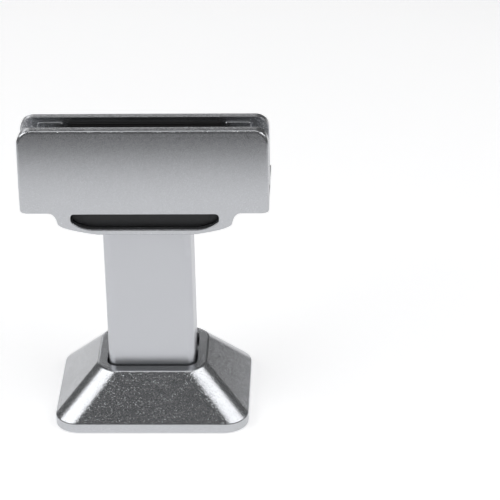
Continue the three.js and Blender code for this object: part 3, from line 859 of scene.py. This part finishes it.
def make_socket(s):
    """The hull-shaped socket: a slot in its front, hollow inside, open below for the column."""
    far = 10 * MM
    near = 0.01 * MM
    side = hull_side(0, s.hull_bottom, s.table_bottom)
    root = (side[-1][0], s.table_bottom + HULL_ROOT)
    hull = wall("hull", mirrored(side + [root]), FRONT, TABLE_BACK)
    slot = wall("slot", slot_outline(), FRONT - far, FRONT + s.slot_depth)
    inside = hull_side(s.hull_wall, s.hull_bottom + s.hull_floor, s.table_bottom)
    hollow = wall("hollow", mirrored(inside), FRONT + s.hull_wall, TABLE_BACK - s.hull_wall)
    width = COLUMN[1].x - COLUMN[0].x + SOCKET_GAP
    depth = COLUMN[1].y - COLUMN[0].y + SOCKET_GAP
    sections = [(width, depth, SOCKET_CORNER, z) for z in (s.hull_bottom - far, s.hull_bottom + far / 2)]
    opening = ring_solid("opening", plan_rings(sections, 8))
    combine(hull, "DIFFERENCE", [slot, hollow, opening])

    def weight(middle, direction, convex):
        outside = abs(middle.y - FRONT) < near or abs(middle.y - TABLE_BACK) < near
        below = middle.z < s.hull_bottom + near
        return 1.0 if convex and (outside or below) and middle.z < s.table_bottom - near else 0.0

    return bevel_edges(hull, s.slot_edge, 3, weight)


def make_slot_shade_filler():
    """The black insert that closes the slot, with a shallow panel in its face; its black is painted shade,
    standing in for the dark inside of the slot.
    """
    low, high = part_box("slot_insert")
    insert = wall("slot_cover", slot_outline(INSERT_GAP), low.y, high.y)
    panel = block("panel", (-INSERT_PANEL_HALF, low.y - 1 * MM, low.z + 0.45 * MM),
                  (INSERT_PANEL_HALF, low.y + 0.35 * MM, INSERT_PANEL_TOP))
    combine(insert, "DIFFERENCE", [panel])
    bevel_edges(insert, 0.25 * MM, 3, lambda middle, direction, convex: 1.0 if convex else 0.0)
    return shade(insert)


def add_ribs_and_bosses(cast, s):
    """Locating ribs on the inside of the fixed jaw, bosses for the tie bolts, and the tapped holes."""
    extras = []
    for low, high in RIB_SPANS:
        for side in (-1, 1):
            x = side * (low + high) / 2 * MM
            rib = soft_prism("rib", (high - low) * MM, JAW_TOP - RIB_TOP_GAP - s.table_top + 1 * MM, 0.6 * MM,
                             -1 * MM, s.rib_proud, 0.3 * MM, 4, 3)
            middle_z = (JAW_TOP - RIB_TOP_GAP + s.table_top - 1 * MM) / 2
            extras.append(placed(rib, Matrix.Translation((x, FRONT_INNER, middle_z))
                                 @ Matrix.Rotation(-QUARTER, 4, "X")))
    for side in (-1, 1):
        radius = TIE_BOSS_RADIUS
        low = BRACKET[0].z
        boss = turned("boss", [(0, low), (radius - 0.6 * MM, low), (radius, low + 0.6 * MM),
                               (radius, s.table_bottom + 0.5 * MM), (0, s.table_bottom + 0.5 * MM)])
        extras.append(shifted(boss, side * BOLT_X))
    combine(cast, "UNION", extras)
    holes = []
    for side in (-1, 1):
        low = BRACKET[0].z
        top = BOLT[1].z + 0.3 * MM
        hole = turned("tapped_hole", [(0, low - 1 * MM), (TAP_MOUTH_RADIUS, low - 1 * MM),
                                      (TAP_RADIUS, low + 0.5 * MM), (TAP_RADIUS, top),
                                      (0, top + 2 * MM)], 32)
        holes.append(shifted(hole, side * BOLT_X))
        tip = SCREW[0].y - 0.3 * MM
        bore = PIN_BORE
        mouth = FRONT_INNER + 1.1 * MM
        hole = turned("screw_hole", [(0, tip - 1.2 * MM), (bore, tip), (bore, FRONT_INNER - 0.4 * MM),
                                     (bore + 1.5 * MM, mouth), (0, mouth)], 32)
        holes.append(along_y(hole, side * PIN_X, PIN_Z))
    combine(cast, "DIFFERENCE", holes)


def make_sliding_jaw(s):
    """The sliding jaw with the key that runs in the table's channel."""
    foot = s.table_top + REAR_FOOT_GAP
    far = 5 * MM
    jaw = wall("sliding_jaw_casting", jaw_outline(foot, 0.6 * MM, s.jaw_corner), REAR_INNER, REAR_FACE)
    key_foot = s.table_top - s.channel_depth + REAR_FOOT_GAP
    key = block("key", (-s.channel_half + 0.5 * MM, REAR_INNER, key_foot),
                (s.channel_half - 0.5 * MM, REAR_FACE - 1 * MM, foot + far))
    combine(jaw, "UNION", [key])
    small = s.cast_edge / s.front_edge

    def weight(middle, direction, convex):
        if abs(middle.y - REAR_FACE) < 0.01 * MM:
            return 0.4 if middle.z > foot + 0.7 * MM else small
        if not convex or middle.z < foot - 0.1 * MM:
            return 0.0
        return small

    bevel_edges(jaw, s.front_edge, 4, weight)
    lean_outside(jaw, REAR_INNER, REAR_FACE, -1, s)
    extras = []
    for side in (-1, 1):
        low = PIN_Z - PIN_BOSS_DROP
        high = JAW_TOP - PIN_BOSS_TOP_GAP
        boss = soft_prism("boss", PIN_BOSS_WIDTH, high - low, 1.5 * MM, -1 * MM, s.boss_proud,
                          0.35 * MM, 5, 3)
        extras.append(placed(boss, Matrix.Translation((side * PIN_X, REAR_INNER, (low + high) / 2))
                             @ Matrix.Rotation(QUARTER, 4, "X")))
    combine(jaw, "UNION", extras)
    holes = []
    for side in (-1, 1):
        seat = WASHER[0].y - 0.3 * MM
        start = REAR_INNER - s.boss_proud
        mouth = SCREW[1].y - 0.35 * MM
        bore = PIN_BORE
        wide = HEAD_BORE
        hole = turned("screw_hole", [(0, start - 1 * MM), (bore + 1.4 * MM, start - 1 * MM),
                                     (bore, start + 0.4 * MM), (bore, seat), (wide, seat),
                                     (wide, mouth - 0.5 * MM), (wide + 2 * MM, mouth + 1.5 * MM),
                                     (0, mouth + 1.5 * MM)], 48)
        holes.append(along_y(hole, side * PIN_X, PIN_Z))
    combine(jaw, "DIFFERENCE", holes)
    return shade(jaw)


def hex_cutter(name, across_flats, z0, z1, chamfer):
    """A hexagonal socket cutter with a chamfered mouth at z1."""
    corner = across_flats / math.sqrt(3)
    rings = []
    for radius, z in ((corner, z0), (corner, z1 - chamfer), (corner + 2 * chamfer, z1 + chamfer)):
        rings.append([(x, y, z) for x, y in arc(0, 0, radius, 0, 2 * math.pi, 6)[:-1]])
    return ring_solid(name, rings)


def make_clamp_screw(name, x, s):
    """A low-head M5 screw, its thread cut to the tip."""
    steel = finish("bright_steel")
    end = SCREW[1].y
    seat = end - s.screw_head
    tip = SCREW[0].y
    radius = (SCREW[1].x - SCREW[0].x) / 2
    round_edge = 0.5 * MM
    profile = [(0, seat), (radius - 0.15 * MM, seat), (radius, seat + 0.15 * MM), (radius, end - round_edge)]
    profile += [(r, z) for r, z in arc(radius - round_edge, end - round_edge, round_edge, 0, QUARTER, 5)[1:]]
    profile += [(0, end)]
    screw = turned(name, profile, 64)
    neck = turned("neck", [(0, seat - 1.2 * MM), (s.screw_radius - 0.35 * MM, seat - 1.2 * MM),
                           (s.screw_radius, seat - 0.6 * MM), (s.screw_radius, seat + 0.6 * MM),
                           (0, seat + 0.6 * MM)], 32)
    shank_length = seat - 0.9 * MM - tip
    shank = from_tree("shank", bpy.data.node_groups["threaded_shank"], {
        "Radius": s.screw_radius, "Pitch": s.screw_pitch, "Depth": 0.42 * MM, "Length": shank_length,
        "Start": tip, "Rows": round(shank_length / s.screw_pitch * 6), "Material": steel})
    combine(screw, "UNION", [neck, shank])
    combine(screw, "DIFFERENCE", [hex_cutter("socket", s.screw_hex, end - 2.3 * MM, end, 0.15 * MM)])
    return shade(along_y(screw, x, PIN_Z), 32)


def make_ring(name, box, bore, edge, x, s):
    """A sleeve or washer along Y in the place of its node."""
    ring = from_tree(name, bpy.data.node_groups["turned_ring"], {
        "Outer Radius": (box[1].x - box[0].x) / 2, "Bore Radius": bore, "Length": box[1].y - box[0].y,
        "Edge Round": edge, "Start": box[0].y, "Steps": s.ring_steps,
        "Material": finish("bright_steel")})
    return shade(along_y(ring, x, PIN_Z), 50)


def make_pad(name, node, ribs_towards):
    """A thin rubber pad with fine grip ribs on the side that meets the panel."""
    low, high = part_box(node)
    pitch = 1.2 * MM
    groove = 0.28 * MM
    flat = high.y if ribs_towards > 0 else low.y
    back = low.y if ribs_towards > 0 else high.y
    edge = 0.25 * MM
    count = int((high.z - low.z - 2 * edge) / pitch)
    start = (low.z + high.z - count * pitch) / 2
    face = [(flat - ribs_towards * edge, low.z)]
    for i in range(count):
        z = start + i * pitch
        face.append((flat - ribs_towards * groove, z))
        face += [(flat, z + 0.25 * pitch), (flat, z + 0.75 * pitch)]
    face += [(flat - ribs_towards * groove, start + count * pitch), (flat - ribs_towards * edge, high.z)]
    outline = [(back, low.z)] + face + [(back, high.z)]
    rings = [[(x, y, z) for y, z in outline] for x in (low.x, high.x)]
    return shade(ring_solid(name, rings), 30)


# ---------- stand pieces ----------
def make_column(s):
    """The hollow rectangular column."""
    low, high = COLUMN
    w = high.x - low.x
    d = high.y - low.y
    wall_off = 2 * s.column_wall
    inner = (w - wall_off, d - wall_off, s.column_corner - s.column_wall)
    outer = (w, d, s.column_corner)
    sections = [(*inner, low.z), (*outer, low.z), (*outer, high.z), (*inner, high.z)]
    column = ring_solid("column", plan_rings(eased(sections, [0.3 * MM] * 4, 3), 12), closed=True)
    return shade(column, 60)


def make_cover(s):
    """The flared base cover: an upright rim, four sloping sides and a flat collar round the column."""
    low, high = COVER
    w = high.x - low.x
    d = high.y - low.y
    t = s.cover_wall
    bore_w = COLUMN[1].x - COLUMN[0].x + 2 * s.running_gap
    bore_d = COLUMN[1].y - COLUMN[0].y + 2 * s.running_gap
    bore_r = s.column_corner + s.running_gap
    under = high.z - t
    sections = [
        (w, d, s.base_corner, low.z),
        (w, d, s.base_corner, s.rim),
        (s.collar_width, s.collar_depth, s.collar_corner, high.z),
        (bore_w, bore_d, bore_r, high.z),
        (bore_w, bore_d, bore_r, under),
        (s.collar_width - 3.6 * MM, s.collar_depth - 3.6 * MM, s.collar_corner - 1.8 * MM, under),
        (w - 2 * t, d - 2 * t, s.base_corner - t, s.rim),
        (w - 2 * t, d - 2 * t, s.base_corner - t, low.z),
    ]
    radii = [0.7 * MM, 0.6 * MM, 0.9 * MM, 0.35 * MM, 0.2 * MM, 0.8 * MM, 1 * MM, 0.4 * MM]
    rings = plan_rings(eased(sections, radii, 5), 20)
    cover = ring_solid("flared_cover", rings, closed=True)
    ribs = []
    for sx in (-1, 1):
        for sy in (-1, 1):
            x = COVER_RIB[0] * sx
            y = COVER_RIB[1] * sy
            bottom = PLATE[1].z + 0.3 * MM
            ribs.append(block("rib", (x - 1 * MM, y - 4 * MM, bottom),
                              (x + 1 * MM, y + 4 * MM, COVER_RIB_TOP)))
    combine(cover, "UNION", ribs)
    return shade(cover, 50)


def make_plate(s):
    """The steel plate inside the base, with countersunk and plain holes."""
    low, high = PLATE
    plate = soft_prism("foot_plate", high.x - low.x, high.y - low.y, s.plate_corner, low.z, high.z, 0.5 * MM)
    tools = []
    for side in (-1, 1):
        head = (BOLT[1].x - BOLT[0].x) / 2 + 0.3 * MM
        neck = s.bolt_radius + 0.4 * MM
        sink = turned("sink", [(0, low.z - 1 * MM), (head, low.z - 1 * MM), (head, low.z + 0.9 * MM),
                               (neck, low.z + s.bolt_head + 0.5 * MM), (neck, high.z + 1 * MM),
                               (0, high.z + 1 * MM)], 64)
        tools.append(shifted(sink, side * BOLT_X))
        tools.append(anchor_cutter(side * s.anchor_x, s.anchor_radius, low.z, high.z, 0.4 * MM))
    combine(plate, "DIFFERENCE", tools)
    return shade(plate, 35)


def anchor_cutter(x, radius, z0, z1, chamfer):
    """Cuts a through hole with both mouths chamfered."""
    far = 1 * MM
    hole = turned("hole", [(0, z0 - far), (radius + chamfer + far, z0 - far), (radius, z0 + chamfer),
                           (radius, z1 - chamfer), (radius + chamfer + far, z1 + far), (0, z1 + far)], 40)
    return shifted(hole, x)


def make_mat(s):
    """The rubber mat that the stand rests on."""
    low, high = MAT
    mat = soft_prism("foot_mat", high.x - low.x, high.y - low.y, s.mat_corner, low.z, high.z, 0.35 * MM)
    tools = [anchor_cutter(side * s.anchor_x, 5 * MM, low.z, high.z, 0.25 * MM) for side in (-1, 1)]
    combine(mat, "DIFFERENCE", tools)
    return shade(mat, 35)


def make_collar(s):
    """The black collar that plugs the column's top under the table."""
    low, high = COLLAR
    step = COLUMN[1].z
    off = 2 * (s.column_wall + PLUG_GAP)
    plug = soft_prism("neck_collar", COLUMN[1].x * 2 - off, COLUMN[1].y * 2 - off, 2 * MM, low.z,
                      step + 1 * MM, 0.4 * MM)
    ledge = soft_prism("ledge", high.x - low.x, high.y - low.y, 3.4 * MM, step + 0.3 * MM, high.z, 0.4 * MM)
    combine(plug, "UNION", [ledge])
    tools = []
    for side in (-1, 1):
        wide = COLLAR_POCKET
        narrow = s.bolt_radius + 0.4 * MM
        floor_z = BRACKET[0].z - 0.3 * MM
        tools.append(shifted(turned("pocket", [
            (0, low.z - 1 * MM), (narrow, low.z - 1 * MM), (narrow, floor_z), (wide, floor_z),
            (wide, high.z - 0.4 * MM), (wide + 0.8 * MM, high.z + 0.4 * MM), (0, high.z + 0.4 * MM)], 48),
            side * BOLT_X))
    combine(plug, "DIFFERENCE", tools)
    return shade(plug, 35)


def make_foot_plug(s):
    """The black plug that centres the column's foot on the plate."""
    low, high = PLUG
    plug = soft_prism("column_foot_plug", high.x - low.x, high.y - low.y, 2 * MM, low.z, high.z, 0.4 * MM)
    tools = [anchor_cutter(side * BOLT_X, s.bolt_radius + PLUG_GAP, low.z, high.z, 0.4 * MM)
             for side in (-1, 1)]
    combine(plug, "DIFFERENCE", tools)
    return shade(plug, 35)


def make_tie_bolt(name, x, h):
    """A countersunk M8 bolt that holds the head, the column and the plate together."""
    low = BOLT[0].z
    top = BOLT[1].z
    head = (BOLT[1].x - BOLT[0].x) / 2
    thread_start = top - h.bolt_thread
    radius = h.bolt_radius
    neck = thread_start + 0.6 * MM
    bolt = turned(name, [(0, low), (head - 0.2 * MM, low), (head, low + 0.2 * MM), (head, low + 0.5 * MM),
                         (radius, low + h.bolt_head), (radius, thread_start), (radius - 0.5 * MM, neck),
                         (0, neck)], 64)
    run = top - thread_start - 0.2 * MM
    shank = from_tree("shank", bpy.data.node_groups["threaded_shank"], {
        "Radius": radius, "Pitch": h.bolt_pitch, "Depth": 0.68 * MM, "Length": run, "Start": top - run,
        "Rows": round(run / h.bolt_pitch * 6), "Material": finish("zinc_steel")})
    combine(bolt, "UNION", [shank])
    socket = hex_cutter("socket", h.bolt_hex, -2.5 * MM, 0, 0.25 * MM)
    placed(socket, Matrix.Rotation(math.pi, 4, "X"))
    combine(bolt, "DIFFERENCE", [placed(socket, Matrix.Translation((0, 0, low)))])
    return shade(shifted(bolt, x), 32)


# ---------- stage ----------
CAMERA_PLACE = (0.0942, -1.0844, 0.6611)
CAMERA_HEADING = -2.266  # degrees from +Y towards +X
CAMERA_PITCH = 27.912  # degrees below the horizon
CAMERA_ROLL = -1.165
CAMERA_LENS = 173.2


def make_camera():
    """A long lens from the front and above, tipped by a degree."""
    yaw, pitch, roll = (math.radians(a) for a in (CAMERA_HEADING, CAMERA_PITCH, CAMERA_ROLL))
    ahead = Vector((math.sin(yaw) * math.cos(pitch), math.cos(yaw) * math.cos(pitch), -math.sin(pitch)))
    level = Vector((math.cos(yaw), -math.sin(yaw), 0))
    over = level.cross(ahead)
    right = level * math.cos(roll) + over * math.sin(roll)
    up = over * math.cos(roll) - level * math.sin(roll)
    data = bpy.data.cameras.new("camera")
    data.lens = CAMERA_LENS
    data.sensor_width = 36
    data.clip_start = 0.05
    camera = linked("camera", data)
    camera.matrix_world = Matrix.Translation(CAMERA_PLACE) @ Matrix((right, up, -ahead)).transposed().to_4x4()
    bpy.context.scene.camera = camera
    return camera


FLOOR_HALF = 6.0
# Painted pool of light: the floor's own emission, full near GLOW_MIDDLE and gone past the second distance.
GLOW_MIDDLE = (0, 0.15, 0)
GLOW_REACH = (0.35, 1.2)  # full glow inside the first distance, none past the second
GLOW_STRENGTH = 0.5

# name, place, aim, width, height, watts
SOFTBOXES = (
    ("left_softbox", (-0.91, -0.33, 0.88), (0, 0, 0.03), 1.4, 0.55, 6.0),
    ("right_softbox", (0.89, -0.24, 0.95), (0, 0, 0.03), 1.4, 0.55, 5.4),
    ("top_softbox", (0, -0.3, 1.35), (0, 0, 0), 0.9, 0.7, 2.4),
    ("back_softbox", (-0.45, 1.6, 0.56), (0, 0, 0.1), 1.3, 0.5, 2.6),
)


def make_lights():
    """Large soft boxes at both sides, above and behind."""
    for name, place, aim, width, height, watts in SOFTBOXES:
        data = bpy.data.lights.new(name, "AREA")
        data.shape = "RECTANGLE"
        data.size = width
        data.size_y = height
        data.energy = watts
        lamp = linked(name, data)
        lamp.location = place
        lamp.rotation_euler = (Vector(aim) - Vector(place)).to_track_quat("-Z", "Y").to_euler()
        lamp.visible_camera = False
    world = bpy.data.worlds.new("studio")
    world.use_nodes = True
    backdrop = world.node_tree.nodes["Background"]
    backdrop.inputs["Color"].default_value = (1, 1, 1, 1)
    backdrop.inputs["Strength"].default_value = 0.1
    bpy.context.scene.world = world
    bpy.context.scene.view_settings.view_transform = "Standard"


def make_floor(f):
    """A large pale floor with a faint unevenness, which itself emits light strongest round the stand and
    fading outwards: a painted pool of light.
    """
    bm = bmesh.new()
    bmesh.ops.create_grid(bm, x_segments=8, y_segments=8, size=FLOOR_HALF)
    floor = new_object("studio_floor", bm)
    if floor.data.polygons[0].normal.z < 0:
        floor.data.flip_normals()
    placed(floor, Matrix.Translation((0, 0, -0.1 * MM)))
    made, shader = material("pale_floor", f.floor, 0.0, 0.75, Specular_IOR_Level=0.2,
                            Emission_Color=(1, 1, 1, 1))
    p = Painter(made, shader)
    # the floor's emission, a painted pool of light round the stand
    reach = p.add("ShaderNodeVectorMath", {0: p.place, 1: GLOW_MIDDLE}, operation="DISTANCE")
    glow = p.add("ShaderNodeMapRange", {"Value": reach.outputs["Value"], "From Min": GLOW_REACH[0],
                                        "From Max": GLOW_REACH[1], "To Min": GLOW_STRENGTH,
                                        "To Max": 0.0}, interpolation_type="SMOOTHSTEP")
    p.feed(shader.inputs["Emission Strength"], glow.outputs[0])
    grain = p.group("fine_grain", Grain_Size=3 * MM, Base_Roughness=0.75, Roughness_Change=0.05)
    p.tint(f.floor, p.math("MULTIPLY_ADD", grain["Height"], 0.01, 0.995))
    wear(floor, "pale_floor")


# ---------- operators ----------
class ClampOperator:
    """What every operator here shares: it finishes, or it raises."""
    bl_options = {"REGISTER", "UNDO"}

    def execute(self, context):
        self.build(context.scene)
        return {"FINISHED"}


class CLAMP_OT_materials(ClampOperator, Operator):
    """Make the shared effects and the finishes"""
    bl_idname = "clamp.materials"
    bl_label = "Finishes"

    def build(self, scene):
        f = scene.clamp_finishes
        flake_group()
        grain_group()
        handling_group()
        turned_ring_tree()
        threaded_shank_tree()
        make_paint(f)
        make_anodised(f)
        make_steel(f)
        make_zinc(f)
        make_black("black_nylon", f.nylon, 0.5, 0.25 * MM, 0.03 * MM)
        make_black("black_rubber", f.rubber, 0.75, 0.4 * MM, 0.05 * MM)


class CLAMP_OT_fixed_jaw(ClampOperator, Operator):
    """Make the casting with the fixed jaw, the table and the socket, and the slot's black insert, which is
    painted shade for the inside of the slot
    """
    bl_idname = "clamp.fixed_jaw"
    bl_label = "Fixed jaw"

    def build(self, scene):
        s = scene.clamp_head
        hand_over(make_fixed_jaw(s), "stand", "painted_casting", "front_jaw_bracket")
        # the insert's black nylon is painted shade: it stands in for the dark inside of the slot
        hand_over(make_slot_shade_filler(), "stand", "black_nylon", "slot_insert")


class CLAMP_OT_sliding_jaw(ClampOperator, Operator):
    """Make the sliding jaw"""
    bl_idname = "clamp.sliding_jaw"
    bl_label = "Sliding jaw"

    def build(self, scene):
        hand_over(make_sliding_jaw(scene.clamp_head), "sliding_jaw", "painted_casting", "rear_jaw")


class CLAMP_OT_screws(ClampOperator, Operator):
    """Make the clamp screws, their washers and the spacer sleeves"""
    bl_idname = "clamp.screws"
    bl_label = "Clamp screws"

    def build(self, scene):
        s = scene.clamp_hardware
        for side, x in (("left", -PIN_X), ("right", PIN_X)):
            screw = make_clamp_screw(f"low_head_screw_{side}", x, s)
            hand_over(screw, f"screw_{side}", "bright_steel", f"clamp_screw_{side}")
            washer = make_ring(f"washer_{side}", WASHER, WASHER_BORE, 0.15 * MM, x, s)
            hand_over(washer, "sliding_jaw", "bright_steel", f"lock_washer_{side}")
            sleeve = make_ring(f"sleeve_{side}", SLEEVE, PIN_BORE, 0.35 * MM, x, s)
            hand_over(sleeve, "stand", "bright_steel", f"spacer_sleeve_{side}")


class CLAMP_OT_pads(ClampOperator, Operator):
    """Make the rubber grip pads of both jaws"""
    bl_idname = "clamp.pads"
    bl_label = "Grip pads"

    def build(self, scene):
        for place in ("left", "middle", "right"):
            node = f"front_jaw_pad_{place}"
            hand_over(make_pad(f"grip_pad_{place}", node, 1), "stand", "black_rubber", node)
        rear = make_pad("grip_pad_rear", "rear_jaw_pad", -1)
        hand_over(rear, "sliding_jaw", "black_rubber", "rear_jaw_pad")


class CLAMP_OT_column(ClampOperator, Operator):
    """Make the column, its collar and its foot plug"""
    bl_idname = "clamp.column"
    bl_label = "Column"

    def build(self, scene):
        s = scene.clamp_stand
        h = scene.clamp_hardware
        hand_over(make_column(s), "stand", "anodised_column", "column_tube")
        make = ((make_collar, "head_collar"), (make_foot_plug, "foot_plug"))
        sizes = Sizes(s, h)
        for build_piece, node in make:
            hand_over(build_piece(sizes), "stand", "black_nylon", node)


class Sizes:
    """Looks a size up in several property groups."""

    def __init__(self, *groups):
        self.groups = groups

    def __getattr__(self, name):
        for group in self.groups:
            if hasattr(group, name):
                return getattr(group, name)
        raise AttributeError(name)


class CLAMP_OT_base(ClampOperator, Operator):
    """Make the flared cover, the base plate, its mat and the tie bolts"""
    bl_idname = "clamp.base"
    bl_label = "Base"

    def build(self, scene):
        s = Sizes(scene.clamp_stand, scene.clamp_hardware)
        hand_over(make_cover(s), "cover", "painted_casting", "base_cover")
        hand_over(make_plate(s), "stand", "zinc_steel", "base_plate")
        hand_over(make_mat(s), "stand", "black_rubber", "base_mat")
        for side, x in (("left", -BOLT_X), ("right", BOLT_X)):
            bolt = make_tie_bolt(f"countersunk_bolt_{side}", x, scene.clamp_hardware)
            hand_over(bolt, "stand", "zinc_steel", f"tie_bolt_{side}")


class CLAMP_OT_stage(ClampOperator, Operator):
    """Make the floor, the lights and the camera"""
    bl_idname = "clamp.stage"
    bl_label = "Studio"

    def build(self, scene):
        make_floor(scene.clamp_finishes)
        make_lights()
        make_camera()


OPERATORS = (CLAMP_OT_materials, CLAMP_OT_fixed_jaw, CLAMP_OT_sliding_jaw, CLAMP_OT_screws,
             CLAMP_OT_pads, CLAMP_OT_column, CLAMP_OT_base, CLAMP_OT_stage)


class CLAMP_PT_sidebar(Panel):
    """Lists the sizes, the finishes and the pieces"""
    bl_idname = "CLAMP_PT_sidebar"
    bl_label = "Panel clamp"
    bl_space_type = "VIEW_3D"
    bl_region_type = "UI"
    bl_category = "Clamp"

    def draw(self, context):
        scene = context.scene
        for group in GROUPS:
            box = self.layout.box()
            values = getattr(scene, group)
            for key in GROUPS[group].__annotations__:
                box.prop(values, key)
        for operator in OPERATORS:
            self.layout.operator(operator.bl_idname)


GROUPS = {"clamp_head": HeadSizes, "clamp_hardware": HardwareSizes, "clamp_stand": StandSizes,
          "clamp_finishes": Finishes}


def register():
    for group in GROUPS:
        bpy.utils.register_class(GROUPS[group])
        setattr(bpy.types.Scene, group, PointerProperty(type=GROUPS[group]))
    for cls in (*OPERATORS, CLAMP_PT_sidebar):
        bpy.utils.register_class(cls)


def unregister():
    for cls in reversed((*OPERATORS, CLAMP_PT_sidebar)):
        bpy.utils.unregister_class(cls)
    for group in GROUPS:
        delattr(bpy.types.Scene, group)
        bpy.utils.unregister_class(GROUPS[group])


def main():
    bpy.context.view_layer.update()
    register()
    bpy.ops.clamp.materials()
    bpy.ops.clamp.fixed_jaw()
    bpy.ops.clamp.sliding_jaw()
    bpy.ops.clamp.screws()
    bpy.ops.clamp.pads()
    bpy.ops.clamp.column()
    bpy.ops.clamp.base()
    bpy.ops.clamp.stage()


if __name__ == "__main__":
    main()
